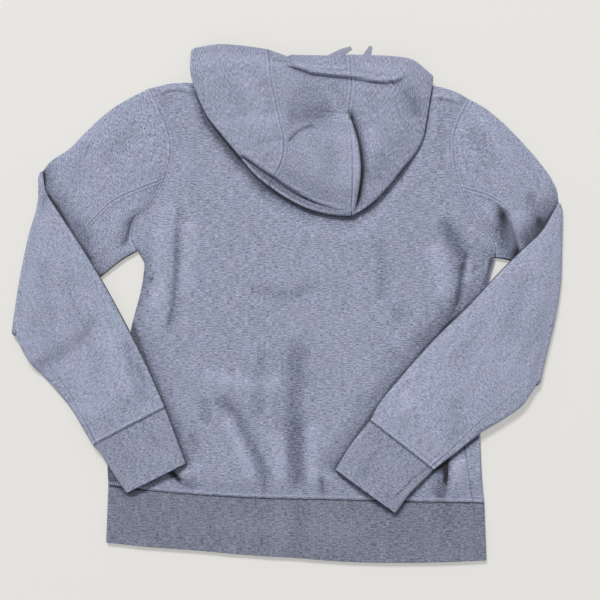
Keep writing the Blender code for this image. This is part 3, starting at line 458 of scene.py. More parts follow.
def welted(grid, edge, seed, weight=1.0):
    """Raises the welt beside one edge of a grid (left, right, low or high), and paints its shade and
    highlight.
    """
    axis = 1 if edge in ("left", "right") else 0
    flip = edge in ("right", "high")
    points = np.flip(grid, axis) if flip else grid
    for layer, change in zip((2, 3), welt(lengths(points, axis), lengths(points, 1 - axis), seed)):
        grid[..., layer] += (np.flip(change, axis) if flip else change) * weight


def cut_of(points):
    """Where each point of a sheet lies in its flat cut, across and along, in metres."""
    across, along = lengths(points, 1), lengths(points, 0)
    middle = points.shape[1] // 2
    across = across - across[:, middle : middle + 1]
    along = np.repeat(along[:, middle : middle + 1], points.shape[1], axis=1)
    return np.dstack([across, along])


def flat_cut(grid):
    """A body panel is cut as it lies, so its place in plan is its cut."""
    return grid[..., :2]


# %% [markdown]
# Every panel is made the same way. The grid operator makes a flat sheet of square faces, each vertex
# is moved to its place, and a Solidify modifier gives the sheet its wall. A Bevel softens the cut
# edges. The unwrapped cut, in metres, becomes the UV map, so that the knit runs with the cloth.

# %% From a grid to a piece of cloth
EDGE_ROUND = 0.3  # of the wall
EDGE_ANGLE = math.radians(50)
SAME_PLACE = 0.00001


def sheet_mesh(grids, cuts=None):
    """A bmesh of one or more grids of points, joined where they meet, with the cut as its UV map."""
    mesh = bmesh.new()
    uv = mesh.loops.layers.uv.new("cut")
    # This attribute holds the light and shade painted into the cloth's colour: darker in folds, seams and
    # beside what lies on the cloth, lighter on ridges.
    painted_shading = mesh.verts.layers.float.new("painted_shading")
    for number, grid in enumerate(grids):
        grid = np.asarray(grid, float)
        rows, columns = grid.shape[:2]
        cut = cuts[number] if cuts else cut_of(grid)
        made = bmesh.ops.create_grid(mesh, x_segments=columns - 1, y_segments=rows - 1, size=0.5)
        place = {}
        for vert in made["verts"]:
            column = round((vert.co.x + 0.5) * (columns - 1))
            row = round((vert.co.y + 0.5) * (rows - 1))
            place[vert] = (row, column)
            vert.co = grid[row, column, :3]
            vert[painted_shading] = grid[row, column, 3] if grid.shape[2] > 3 else 0.0
        for face in {face for vert in made["verts"] for face in vert.link_faces}:
            for loop in face.loops:
                loop[uv].uv = cut[place[loop.vert]]
    bmesh.ops.remove_doubles(mesh, verts=mesh.verts, dist=SAME_PLACE)
    bmesh.ops.recalc_face_normals(mesh, faces=mesh.faces)
    return mesh


def finished(name, mesh, finish, nodes=(), body="garment", wall=None):
    """Turns a bmesh into a piece that rides on a body, with its finish and, for cloth, its wall."""
    data = bpy.data.meshes.new(name)
    for face in mesh.faces:
        face.smooth = True
    mesh.to_mesh(data)
    mesh.free()
    data.materials.append(finish)
    piece = bpy.data.objects.new(name, data)
    bpy.context.collection.objects.link(piece)
    if wall:
        solid = piece.modifiers.new("Wall", "SOLIDIFY")
        solid.thickness = wall
        solid.offset = 0.0
        bevel = piece.modifiers.new("Soft edges", "BEVEL")
        bevel.width = EDGE_ROUND * wall
        bevel.segments = 2
        bevel.limit_method = "ANGLE"
        bevel.angle_limit = EDGE_ANGLE
    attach(piece, body)
    if nodes:
        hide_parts(*nodes)
    print(name, len(data.polygons), "faces")


# %% [markdown]
# The finishes are made from nodes, so they stay sharp however close the camera comes. A small class
# wraps a node's output, so that the arithmetic between nodes reads like arithmetic.

# %% Node arithmetic
def join(target, value):
    """Links a signal to a node's input; a number or a colour is set there."""
    if isinstance(value, Signal):
        value.tree.links.new(value.socket, target)
    else:
        target.default_value = value


class Signal:
    """An output of a shader node; + - and * make Math nodes."""

    def __init__(self, tree, socket):
        self.tree = tree
        self.socket = socket

    def node(self, kind, settings=None, **inputs):
        """Adds a node to the same tree: its settings first, then its inputs by name or number."""
        made = self.tree.nodes.new("ShaderNode" + kind)
        for key, value in (settings or {}).items():
            setattr(made, key, value)
        for key, value in inputs.items():
            numbered = key[0] == "i" and key[1:].isdigit()
            join(made.inputs[int(key[1:]) if numbered else key.replace("_", " ")], value)
        return made

    def take(self, kind, output=0, settings=None, **inputs):
        """Adds a node and takes one of its outputs as a signal."""
        return Signal(self.tree, self.node(kind, settings, **inputs).outputs[output])

    def maths(self, operation, *others):
        inputs = {f"i{k}": value for k, value in enumerate((self, *others))}
        return self.take("Math", 0, {"operation": operation}, **inputs)

    def __add__(self, other):
        return self.maths("ADD", other)

    def __sub__(self, other):
        return self.maths("SUBTRACT", other)

    def __mul__(self, other):
        return self.maths("MULTIPLY", other)

    def __rsub__(self, other):
        return self * -1.0 + other

    __radd__ = __add__
    __rmul__ = __mul__

    def ramp(self, low, high):
        """0 below low, 1 above high, straight between."""
        return self.take("MapRange", 0, {"clamp": True}, From_Min=low, From_Max=high, Value=self)

    def mixed(self, first, second):
        """Two colours mixed by this value."""
        return self.take("Mix", 2, {"data_type": "RGBA"}, i0=self, i6=first, i7=second)

    def grain(self, scale, detail=2.0, roughness=0.5):
        """A noise of about one hump per 1/scale."""
        return self.take("TexNoise", 0, {}, Vector=self, Scale=scale, Detail=detail, Roughness=roughness)

    def wave(self, length):
        """A sine wave over a distance, with the length of one wave."""
        return (self * (2 * math.pi / length)).maths("SINE")

    def scaled(self, x, y, z=1.0):
        return self.take("VectorMath", 0, {"operation": "MULTIPLY"}, i0=self, i1=(x, y, z))

    def parts(self):
        """The three numbers of a vector, each as a signal."""
        made = self.node("SeparateXYZ", Vector=self)
        return [Signal(self.tree, output) for output in made.outputs]


def new_finish(name):
    """An empty node material: its main shader, and signals for the sheet's cut and the place in space."""
    finish = bpy.data.materials.new(name)
    finish.use_nodes = True
    tree = finish.node_tree
    shader = next(node for node in tree.nodes if node.type == "BSDF_PRINCIPLED")
    start = Signal(tree, None)
    cut = start.take("UVMap", 0, {"uv_map": "cut"})
    place = start.take("TexCoord", 3)
    return finish, shader, cut, place


def bumped(height):
    """Turns a height in metres into a bend of the surface's normal."""
    return height.take("Bump", 0, {}, Strength=1.0, Distance=1.0, Height=height)


def plug(shader, **sockets):
    """Sets the main shader's inputs."""
    for key, value in sockets.items():
        join(shader.inputs[key.replace("_", " ")], value)


# %% [markdown]
# The jersey is a blue-grey heather: light and dark fibres make short streaks that run with the knit's
# courses. Close up the courses themselves show as a fine relief, and a little sheen softens the edges
# as loose fibres do. The rib is the same yarn in narrow raised columns.

# %% The heather
# How much the painted shade darkens the jersey's colour, and on ridges lightens it.
PAINTED_SHADING_STRENGTH = 0.19  # how much a hollow place darkens
WALE = 0.0013  # from one column of the knit's loops to the next
COURSE = 0.0010  # from one row of loops to the next
RIB_COLUMN = 0.0019  # from one column of the rib to the next
JERSEY = (0.304, 0.331, 0.429, 1.0)
RIB_COLOUR = (0.300, 0.325, 0.418, 1.0)


def shade(colour, factor):
    """A colour made darker or lighter, with its fourth number kept at 1."""
    return (*[channel * factor for channel in colour[:3]], 1.0)


def tinted(colour, tint):
    """A colour with each channel changed by its own factor."""
    return (*[channel * part for channel, part in zip(colour, tint)], 1.0)


def knit(name, colour, streak, contrast, ribbed=False):
    """A knitted heather; streak is the length of its flecks across and along, in metres."""
    finish, shader, cut, place = new_finish(name)
    fleck = cut.scaled(1.0 / streak[0], 1.0 / streak[1]).grain(1.0, 2.0, 0.6)
    fine = cut.scaled(1.0 / (0.40 * streak[0]), 1.0 / (0.60 * streak[1])).grain(1.0, 2.0, 0.7)
    slow = place.grain(16.0, 2.0, 0.5)
    broad = place.grain(70.0, 3.0, 0.6)
    tone = (fleck - 0.5) * 1.35 + (fine - 0.5) * 2.3 + (broad - 0.5) * 0.20 + (slow - 0.5) * 0.10
    # The painted shading pulls the heather towards its dark end in folds and beside what lies on the cloth,
    # and towards its light end on ridges.
    painted_shading = cut.take("Attribute", 2, {"attribute_name": "painted_shading"})
    amount = (tone * contrast - painted_shading * PAINTED_SHADING_STRENGTH + 0.5).ramp(0.0, 1.0)
    hue = place.scaled(1.0, 1.0, 0.2).grain(34.0, 2.0, 0.6).ramp(0.36, 0.64)
    cool, warm = (0.975, 1.002, 1.0), (1.025, 0.997, 1.005)
    # The dark end serves both the heather's dark flecks and the painted shade, and is tinted bluer so that
    # the painted shade reads as blue shadow.
    dark, light = tinted(shade(colour, 0.36), (0.94, 0.97, 1.08)), shade(colour, 1.64)
    base = amount.mixed(hue.mixed(tinted(dark, cool), tinted(dark, warm)),
                        hue.mixed(tinted(light, cool), tinted(light, warm)))
    # Where the painted shade is deepest, at lines of contact and in the darkest folds, the colour goes
    # almost black.
    base = (painted_shading - 2.0).ramp(0.0, 1.5).mixed(base, shade(colour, 0.09))
    across, along, _ = cut.parts()
    wale, course = across.wave(WALE), along.wave(COURSE)
    height = wale * course * 0.000045 + (fine - 0.5) * 0.00040 + (fleck - 0.5) * 0.00022
    if ribbed:
        column = across.wave(RIB_COLUMN)
        height = height + column * 0.00022
        # The rib's recessed columns are painted darker, as the shade that falls in them.
        base = column.ramp(-1.6, -0.4).mixed(shade(colour, 0.70), base)
    plug(shader, Base_Color=base, Roughness=0.95, Normal=bumped(height), Sheen_Weight=0.18,
         Sheen_Roughness=0.5, Specular_IOR_Level=0.2)
    return finish


# These copies of one jersey differ in brightness: the strip's is painted darker than the hood's, as the
# shade in the dip under the hood's rim, and the sleeves' and the hood's are lighter than the body's.
jersey = knit("heather_jersey", shade(JERSEY, 1.03), (0.0100, 0.0014), 0.98)
sleeve_jersey = knit("heather_sleeve", shade(JERSEY, 1.11), (0.0080, 0.0014), 1.05)
hood_jersey = knit("heather_hood", shade(JERSEY, 1.09), (0.0011, 0.0070), 1.0)
strip_jersey = knit("heather_strip", shade(JERSEY, 1.02), (0.0022, 0.0034), 0.9)
rib = knit("rib_waist", shade(RIB_COLOUR, 0.77), (0.0100, 0.0017), 1.15, ribbed=True)
cuff_rib = knit("rib_cuff", shade(RIB_COLOUR, 1.08), (0.0060, 0.0014), 1.25, ribbed=True)
print("knits:", len(bpy.data.materials))

# %% [markdown]
# The small parts each have a finish of their own. The cord's weave is two waves that cross, the zip's
# tape has one that slants, and the metal is nickel with the faint scratches of use.

# %% Thread, cord, tape and metal
def thread_finish():
    """Sewing thread: plain, slightly shiny, a little lighter than the jersey."""
    finish, shader, _, place = new_finish("thread")
    tone = place.grain(900.0, 1.0)
    plug(shader, Base_Color=tone.mixed(JERSEY, shade(JERSEY, 1.8)), Roughness=0.7)
    return finish


def cord_finish():
    """A flat woven cord: small blocks of yarn, a little more lilac than the jersey."""
    finish, shader, _, place = new_finish("woven_cord")
    x, y, _ = place.parts()
    weave = ((x + y) * 2600.0).maths("SINE") * ((x - y) * 2600.0).maths("SINE")
    tone = (place.grain(500.0, 3.0) - 0.5) * 0.9 + 0.5
    base = tone.mixed((0.27, 0.28, 0.38, 1.0), (0.44, 0.45, 0.56, 1.0))
    plug(shader, Base_Color=base, Roughness=0.9, Normal=bumped(weave * 0.00012))
    return finish


def tape_finish():
    """Woven zip tape: a fine twill."""
    finish, shader, cut, place = new_finish("woven_tape")
    across, along, _ = cut.parts()
    twill = ((across + along) * 7000.0).maths("SINE")
    tone = place.grain(700.0, 2.0)
    base = tone.mixed((0.16, 0.17, 0.23, 1.0), (0.26, 0.27, 0.35, 1.0))
    plug(shader, Base_Color=base, Roughness=0.85, Normal=bumped(twill * 0.00004))
    return finish


def metal_finish():
    """Nickel with a satin polish and the faint scratches of use."""
    finish, shader, _, place = new_finish("nickel")
    rub = place.scaled(300.0, 2400.0, 300.0).grain(1.0, 3.0)
    plug(shader, Base_Color=rub.mixed((0.52, 0.51, 0.49, 1.0), (0.70, 0.69, 0.66, 1.0)), Metallic=1.0,
         Roughness=rub * 0.22 + 0.22)
    return finish


thread, cord_yarn, tape, nickel = thread_finish(), cord_finish(), tape_finish(), metal_finish()
print("finishes:", len(bpy.data.materials))

# %% [markdown]
# A plain pale floor lies just under the garment. The light is one broad soft panel above and towards
# the hood, and an even pale sky, so creases read as gentle shading and no hard shadow falls.

# %% Floor and light
FLOOR_Z = -0.0004


def make_floor():
    """A plain plane under everything, which gives off a little light of its own."""
    mesh = bmesh.new()
    bmesh.ops.create_grid(mesh, x_segments=1, y_segments=1, size=1.6)
    data = bpy.data.meshes.new("floor")
    mesh.to_mesh(data)
    mesh.free()
    finish, shader, _, _ = new_finish("pale_floor")
    plug(shader, Base_Color=(0.48, 0.471, 0.453, 1.0), Roughness=0.9, Specular_IOR_Level=0.1,
         Emission_Color=(1.0, 0.981, 0.944, 1.0), Emission_Strength=0.325)
    data.materials.append(finish)
    floor = bpy.data.objects.new("floor", data)
    floor.location = (0.0, 0.0, FLOOR_Z)
    bpy.context.collection.objects.link(floor)


def soft_light(name, place, size, power, colour):
    """A square panel of light that looks at the middle of the garment."""
    panel_light = bpy.data.lights.new(name, "AREA")
    panel_light.shape = "SQUARE"
    panel_light.size = size
    panel_light.energy = power
    panel_light.color = colour
    made = bpy.data.objects.new(name, panel_light)
    made.location = place
    made.rotation_euler = (-Vector(place)).to_track_quat("-Z", "Y").to_euler()
    bpy.context.collection.objects.link(made)


make_floor()
soft_light("key", (-2.2, 7.4, 8.4), 2.4, 960.0, (1.0, 0.985, 0.97))
sky = bpy.data.worlds.new("soft_sky")
sky.use_nodes = True
sky_light = next(node for node in sky.node_tree.nodes if node.type == "BACKGROUND")
sky_light.inputs["Color"].default_value = (0.97, 0.98, 1.0, 1.0)
sky_light.inputs["Strength"].default_value = 0.44
bpy.context.scene.world = sky
bpy.context.scene.view_settings.view_transform = "Standard"
print("lights:", [light.name for light in bpy.data.lights])

# %% [markdown]
# ## The body
#
# The back, the two fronts and the waistband lie on each other. At a side the cloth turns over in a
# tight fold, and the panels meet there in a seam at half the height. The rows of a panel run from the
# waist to the shoulder and its columns from side to side, with more of them where the cloth turns.

# %% Rows and edges of a panel
Edge = namedtuple("Edge", "folded cut rise")
Row = namedtuple("Row", "folded cut rise side")
SEAM_TURN = [math.radians(angle) for angle in (82, 66, 50, 34, 17, 0)]
WRAP_TURN = (0.0, 0.3, 0.6, 0.9, 1.2, math.pi / 2)
SEAMED = [Edge(FOLD * (1 - math.sin(a)), FOLD * k / 5, FOLD * (1 - math.cos(a)))
          for k, a in enumerate(SEAM_TURN)]
WRAPPED = [Edge(FOLD * (1 - math.cos(a)), FOLD * (1 - math.cos(a)), FOLD * (1 - math.sin(a)))
           for a in WRAP_TURN]
CUT = [Edge(0.0, 0.0, 0.0)]
ARMHOLE_SHARES = stops(0.03, (68, 0.93), (12, 0.97))
SIDE_SHARES = stops(0.0, (16, 0.035), (92, 1.0))
ARMHOLE_LENGTH = 0.25
ARMPIT_ROW = len(SIDE_SHARES) - 1


def body_rows():
    """The rows of a body panel from the waist to the shoulder, with those that round the shoulder's fold."""
    rows = [Row(ARMPIT_AT * share, ARMPIT_AT * share, 0.0, True) for share in SIDE_SHARES]
    arm = 1.0 - ARMPIT_AT
    for share in (FOLD / ARMHOLE_LENGTH, *ARMHOLE_SHARES):
        rows.append(Row(ARMPIT_AT + arm * share, ARMPIT_AT + arm * share, 0.0, False))
    for edge in reversed(SEAMED):
        folded = 1.0 - arm * edge.folded / ARMHOLE_LENGTH
        cut = 1.0 - arm * edge.cut / ARMHOLE_LENGTH
        rows.append(Row(folded, cut, edge.rise, False))
    return rows


ROWS = body_rows()
print("rows of a body panel:", len(ROWS), "of them below the armpit:", ARMPIT_ROW)

# %% [markdown]
# A panel is filled from its four edge lines. They have to meet at its corners first, so each is moved
# and stretched by the little that it lacks. A folded edge takes its own columns, close together.

# %% Filling a panel
def side_line(side, armhole, inward):
    """An edge of a body panel: the side, set in by half the wall where it folds, then the armhole."""
    lower = moved(smooth(side), inward * CLOTH / 2)
    upper = moved(smooth(armhole), inward * GAP / 2)
    return end_to_end((lower, upper), (ARMPIT_AT, 1.0))


def share_of(column, width, left_edge, right_edge):
    """Where a flat column lies between a panel's left and right edge, as a share of its width."""
    start, end = left_edge[-1].folded, right_edge[-1].folded
    return (start + column * (width - start - end)) / width


def panel(left, right, bottom, top, left_edge, right_edge, flat, on_shoulder):
    """A body panel's points in plan, with the rise of its folded edges beside them."""
    width = np.linalg.norm(right(0.5) - left(0.5))
    columns = [*left_edge, *flat, *reversed(right_edge)]
    rights = len(columns) - len(right_edge)
    us, vs, rises = [], [], []
    for row in ROWS:
        across = []
        rise = []
        for j, column in enumerate(columns):
            if j < len(left_edge) or j >= rights:
                inset = (column.folded if row.side else column.cut) / width
                across.append(inset if j < len(left_edge) else 1.0 - inset)
            else:
                across.append(share_of(column, width, left_edge, right_edge))
            side_rise = getattr(column, "rise", 0.0) if row.side else 0.0
            rise.append(max(side_rise, row.rise if on_shoulder(j) else 0.0))
        us.append(across)
        vs.append([row.folded if on_shoulder(j) else row.cut for j in range(len(columns))])
        rises.append(rise)
    return filled(left, right, bottom, top, us, vs), np.array(rises)


def squared(left, right, bottom, top):
    """The four edges of a panel, brought together at its corners."""

    def corner(upright, level, across, up):
        return np.array([upright(up)[0], level(across)[1]])

    low_left, low_right = corner(left, bottom, 0.0, 0.0), corner(right, bottom, 1.0, 0.0)
    high_left, high_right = corner(left, top, 0.0, 1.0), corner(right, top, 1.0, 1.0)
    return (
        fitted(left, low_left, high_left),
        fitted(right, low_right, high_right),
        fitted(bottom, low_left, low_right),
        fitted(top, high_left, high_right),
    )


# %% [markdown]
# The open back holds a little air, so it lies a few millimetres higher than a pressed double layer.
# Under the sleeves and the hood it is held down. These tables say how far the sleeves and the hood
# leave it open, and the lift fades out before it reaches them.

# %% Where the back lies open
OPEN_LEFT = table((-246, -262), (-214, -253), (-134, -213), (-150, -170), (-184, -88), (-208, -23),
                  (-192, 38), (-200, 70), (-206, 100), (-186, 130), (-161, 178), (-156, 205), (-168, 253),
                  (-184, 287))
OPEN_RIGHT = table((270, -292), (145, -280), (64, -221), (98, -170), (145, -105), (192, -52), (240, -5),
                   (266, 20), (277, 80), (255, 111), (233, 155), (223, 198), (232, 249), (244, 272))
OPEN_TOP = table((-136, 340), (-129, 310), (-120, 270), (-112, 243), (-70, 190), (-30, 150), (27, 122),
                 (84, 114), (111, 129), (155, 180), (186, 243), (190, 268), (196, 304), (202, 340))
CORNER = table((331, -111), (285, -157), (228, -198), (196, -222), (165, -253), (145, -280))
CORNER_TOP = -0.14  # the corner under the right forearm reaches up to here
RAMP = 0.032
MARGIN = 0.003


def open_share(x, y, ramp=RAMP, margin=MARGIN, held_above=1.0):
    """0 where something lies on the back, 1 well clear of it; above held_above the sides don't count."""
    left = np.interp(y, [p.y for p in OPEN_LEFT], [p.x for p in OPEN_LEFT])
    right = np.interp(y, [p.y for p in OPEN_RIGHT], [p.x for p in OPEN_RIGHT])
    top = np.interp(x, [p.x for p in OPEN_TOP], [p.y for p in OPEN_TOP])
    room = ease((x - left - margin) / ramp) * ease((right - x - margin) / ramp)
    room = np.maximum(room, ease((y - held_above) / 0.03))
    corner = ease((beside(smooth(CORNER), np.stack([x, y], axis=-1))[0] - margin) / min(ramp, 0.012))
    return np.maximum(room * ease((top - y - margin) / ramp), np.where(y < CORNER_TOP, corner, 0.0))


def near_cuff(xy, reach):
    """1 under a cuff and beside it, fading to 0 at a reach from it."""
    shares = []
    for side, arm in ARMS.items():
        corners = [arm.cuff_top[0], arm.cuff_low[0], arm.cuff_low[-1], arm.cuff_top[-1]][::-side]
        shares.append(1.0 - ease(outside(xy, corners) / reach))
    return np.maximum(*shares)


print("the middle of the back is open by", float(open_share(np.array(0.0), np.array(0.0))))

# %% [markdown]
# The folds of the back are the ones that gravity and the arms make in a laid garment: long soft pleats
# up from the hem, a sharp one where the right corner is pressed, and small tucks beside the hood. The
# deepest places are also painted darker, as the shade that falls where hardly any light reaches into
# them. One small dark mark on the left is a stain.

# %% Folds of the back
BACK_FOLDS = folds(
    (4.6, 6, 1.0, 2.6, (216, -190), (213, -206), (210, -230), (209, -250), (211, -272)),
    (2.8, 11, 0.8, 4.2, (-143, 138), (-149, 110), (-152, 80), (-153, 44), (-155, 10), (-160, -20),
     (-170, -48)),
)
BACK_CREASES = creases(
    (8, 2.4, (-170, 104), (-169, 62), (-170, 20), (-178, -14)),
    (9, 3.4, (-130, 110), (-132, 60), (-136, 0)),
    (8, -3.3, (-100, -130), (-85, -134), (-70, -146), (-58, -170), (-43, -200), (-33, -224), (-30, -258)),
    (8, 2.7, (-82, -152), (-66, -184), (-54, -214), (-46, -246)),
    (14, -3.1, (14, -40), (13, -90), (10, -140), (12, -190), (14, -262)),
    (13, -1.6, (10, -150), (12, -190), (14, -225), (18, -262)),
    (9, 2.5, (-12, -170), (-9, -200), (-6, -262)),
    (9, 2.8, (35, -160), (35, -200), (36, -262)),
    (4, -4.1, (45, -230), (47, -246), (49, -264)),
    (6, -2.0, (-130, -174), (-124, -186), (-123, -204)),
    (6, -1.7, (-112, -126), (-108, -150), (-106, -164)),
    (7, -4.1, (-158, -224), (-140, -240), (-118, -251)),
    (11, -3.0, (206, 112), (216, 96), (228, 74), (238, 58)),
    (5.5, -4.0, (238, 66), (235, 46), (230, 14), (224, -16), (210, -40)),
    (6, 3.7, (246, 60), (243, 40), (240, 22)),
    (4, -2.7, (236, 66), (246, 56), (252, 38)),
    (10, 2.7, (196, 80), (208, 40), (206, 0)),
    (9, -1.5, (124, 84), (128, 40), (124, 0)),
    (8, -1.4, (138, -10), (150, -16), (146, -34)),
    (9, -1.4, (140, -60), (142, -84)),
    (2.0, -1.0, (-172, 276), (-158, 280), (-146, 281.5), (-136, 280), (-124, 274)),
    (2.6, 1.2, (-174, 281), (-158, 285), (-146, 286.5), (-136, 285), (-122, 279)),
    (2.0, -1.0, (234, 262), (222, 267), (208, 270), (196, 270), (186, 267)),
    (2.6, 1.2, (236, 267), (222, 272), (208, 275), (196, 275), (186, 272)),
    (9, 4.1, (230, -206), (230, -232), (232, -262)),
    (8, -1.4, (-60, 20), (10, 12), (40, 26)),
    (10, 1.5, (-120, -96), (-40, -110), (0, -108)),
    (8, -1.5, (-30, -60), (-38, -120), (-36, -160)),
)
# Shade painted into the back's colour in its deepest folds; the last row is a stain.
BACK_SHADOWS = (
    (2.8, 3.3, (215, -203), (213, -213), (212, -226), (211, -242)),
    (8.0, 1.8, (210, -206), (207, -230), (205, -252), (206, -270)),
    (8, 0.7, (205, -214), (203, -236), (202, -262)),
    (8, 0.7, (-145, 104), (-145, 60), (-147, 30), (-153, -10), (-160, -34)),
    (15, 0.7, (210, 100), (218, 84), (228, 66), (232, 40)),
    (9, 0.8, (232, 60), (231, 36), (226, 8), (219, -20), (204, -46)),
    (14, 0.8, (216, 0), (200, -24), (182, -44), (164, -64)),
    (2.4, 1.2, (-30, -240), (-31, -252), (-30, -262)),
    (2.4, 1.2, (46, -236), (48, -250), (50, -262)),
    (3.0, 2.6, (-162, -220), (-155, -226), (-148, -232), (-141, -238)),
    # A small stain.
    (3.2, 2.5, (-184, 31), (-181, 31.5), (-178, 31)),
)
print("folds of the back:", len(BACK_FOLDS) + len(BACK_CREASES), "darkened:", len(BACK_SHADOWS))

# %% [markdown]
# The back's height is the sum of these: the air under it, its folds where nothing holds it down, and
# a little room for the zip's slider at the neck. The shade painted into its colour follows the same folds,
# and grows darker towards everything that lies on it.

# %% The surface of the back
WAIST_Y = -0.262
NECK_LIFT = 0.0026
NECK_BOX = (-0.064, 0.128, 0.150)  # left, right and low limit
NECK_RAMP = 0.014
TUCK = 0.020
CONTACT = 0.0060
CUFF_REACH = 0.010
TUCKED_BELOW = 0.055
DEEPEST = -0.0014


def neck_lift(x, y, spread=0.0):
    """Room for the zip's slider and the hood's throat under the back."""
    left, right, low = NECK_BOX
    side = ease((x - left + spread) / NECK_RAMP) * ease((right - x + spread) / NECK_RAMP)
    return NECK_LIFT * side * ease((y - low + spread) / NECK_RAMP)


def back_surface(xy):
    """The height of the middle of the back over every point of its grid, and the shade painted there."""
    x, y = xy[..., 0], xy[..., 1]
    hem = ease((y - WAIST_Y) / 0.03)
    bends = relief(xy, BACK_CREASES) + overlaps(xy, BACK_FOLDS)
    painted_shading = painted_shading_of(bends)
    bends += wander(xy, 0.045, 0.0012, 3.0) + wander(xy, 0.016, 0.0004, 5.0)
    held = np.minimum(1.0, open_share(x, y, 0.018)) * (0.25 + 0.75 * hem)
    lift = CROWN * open_share(x, y) * hem + bends * held
    # Shade painted under and beside the sleeves, the hood and the cuffs, darkest at the lines of contact.
    painted_contact_shade = 0.9 * (1.0 - open_share(x, y, TUCK, held_above=TUCKED_BELOW))
    painted_contact_shade += 1.55 * (1.0 - open_share(x, y, CONTACT, 0.0004, TUCKED_BELOW))
    painted_contact_shade = np.maximum(painted_contact_shade, 2.2 * near_cuff(xy, CUFF_REACH)) + shadows(xy, BACK_SHADOWS)
    return BACK_Z + np.maximum(lift, DEEPEST) + neck_lift(x, y), painted_shading * held + painted_contact_shade


print("height of the middle of the back:", back_surface(np.array([[[0.0, 0.0]]]))[0].round(4)[0, 0], "m")

# %% [markdown]
# The back's right seam lies on top of the garment, because the front wraps over the side there. The
# wrap is widest a quarter of the way up and narrows towards the armpit.

# %% The back
WRAP_WIDTHS = ((0.0, 0.0145), (0.25, 0.0205), (1.0, 0.0036))
WRAP_SLOPE = 0.02
NECK_CORNERS = (0.30, 0.706)
BACK_FLAT = stops(0.004, (12, 0.020), (6, 0.036), (50, NECK_CORNERS[0]), (60, NECK_CORNERS[1]), (44, 0.964),
                  (6, 0.980), (12, 0.996))
BACK_WAIST = 0.957  # the share of the waist line that the back takes, up to its right seam
HEM_ROWS = 50
right_side_line = smooth(SIDE_RIGHT)


def wrap_width(share):
    """How far the front reaches onto the back at a share of its side."""
    return float(np.interp(share, *zip(*WRAP_WIDTHS)))


def back_side(share):
    """The back's right side seam, where the front wraps over onto the back."""
    return right_side_line(share) - np.array([CLOTH / 2 + wrap_width(share) + GAP * (1 + share), 0.0])


def back_panel():
    """The back's grid, from the waist to the shoulders."""
    left = side_line(SIDE_LEFT, ARMHOLE_LEFT, -1)
    right = end_to_end((back_side, moved(smooth(ARMHOLE_RIGHT), GAP / 2)), (ARMPIT_AT, 1.0))
    width = np.linalg.norm(right(0.5) - left(0.5))
    corners = [share_of(share, width, SEAMED, CUT) for share in NECK_CORNERS]
    shoulders = [moved(smooth(shoulder), -CLOTH / 2) for shoulder in (SHOULDER_LEFT, SHOULDER_RIGHT)]
    top = end_to_end((shoulders[0], smooth(BACK_NECK), shoulders[1]), (*corners, 1.0))
    waist = moved(smooth(WAIST), GAP / 2)
    edges = squared(left, right, lambda t: waist(t * BACK_WAIST), top)
    first, last = (len(SEAMED) + BACK_FLAT.index(corner) for corner in NECK_CORNERS)
    plan, rises = panel(*edges, SEAMED, CUT, BACK_FLAT, lambda j: not first < j < last)
    height, painted_shading = back_surface(plan)
    return np.dstack([plan, height - rises, painted_shading])


back = back_panel()
for edge, seed in (("left", 51.0), ("right", 52.0)):
    welted(back[ARMPIT_ROW + 2 : -7], edge, seed)
# A dark line is painted along the back's right seam above the waistband, as the shade in the seam's gap.
above_hem = back[:HEM_ROWS]
above_hem[..., 3] += 1.6 * np.exp(-(((above_hem[:, -1:, 0] - above_hem[..., 0]) / WELT_HALF) ** 2))
welted(back, "low", 53.0, 0.6)
finished("back_jersey", sheet_mesh([back], cuts=[flat_cut(back)]), jersey, ["back"], wall=CLOTH)

# %% [markdown]
# The fronts lie on the surface, so they are flat. The right one is cut a little wider and wraps round
# the side onto the back, which is why the seam on that side shows.

# %% The fronts
FRONT_WAISTS = {-1: (0.0, 0.494), 1: (0.527, 1.0)}  # the shares of the waist line that they take
FRONT_CORNERS = {-1: 0.55, 1: 0.45}
FRONT_FLATS = {-1: stops(0.012, (8, 0.06), (24, FRONT_CORNERS[-1]), (16, 0.94), (8, 0.99)),
               1: stops(0.01, (8, 0.06), (16, FRONT_CORNERS[1]), (24, 0.94), (8, 0.988))}
ZIP_AT_WAIST = 0.0835
ZIP_PAST_HEAD = 0.008


def zip_edge(side):
    """The edge of a front along the zip, from the waist to the neck."""
    across = ZIP_HALF * side
    return straight(by_zip(across, ZIP_AT_WAIST), by_zip(across, ZIP_LENGTH + ZIP_PAST_HEAD))


def front_panel(side):
    """A front, flat on the floor up to its folded edges."""
    if side < 0:
        left, right = side_line(SIDE_LEFT, ARMHOLE_LEFT, -1), zip_edge(-1)
        left_edge, right_edge = SEAMED, CUT
        lines = (moved(smooth(SHOULDER_LEFT), -CLOTH / 2), smooth(FRONT_NECK_LEFT))
    else:
        left, right = zip_edge(1), side_line(SIDE_RIGHT, ARMHOLE_RIGHT, 1)
        left_edge, right_edge = CUT, WRAPPED
        lines = (smooth(FRONT_NECK_RIGHT), moved(smooth(SHOULDER_RIGHT), -CLOTH / 2))
    width = np.linalg.norm(right(0.5) - left(0.5))
    flat, neck = FRONT_FLATS[side], FRONT_CORNERS[side]
    top = end_to_end(lines, (share_of(neck, width, left_edge, right_edge), 1.0))
    waist = moved(smooth(WAIST), GAP / 2)
    first, last = FRONT_WAISTS[side]
    edges = squared(left, right, lambda t: waist(first + t * (last - first)), top)
    corner = len(left_edge) + flat.index(neck)
    plan, rises = panel(*edges, left_edge, right_edge, flat, lambda j: (j - corner) * side >= 0)
    return np.dstack([plan, FRONT_Z + rises, np.zeros(rises.shape)])


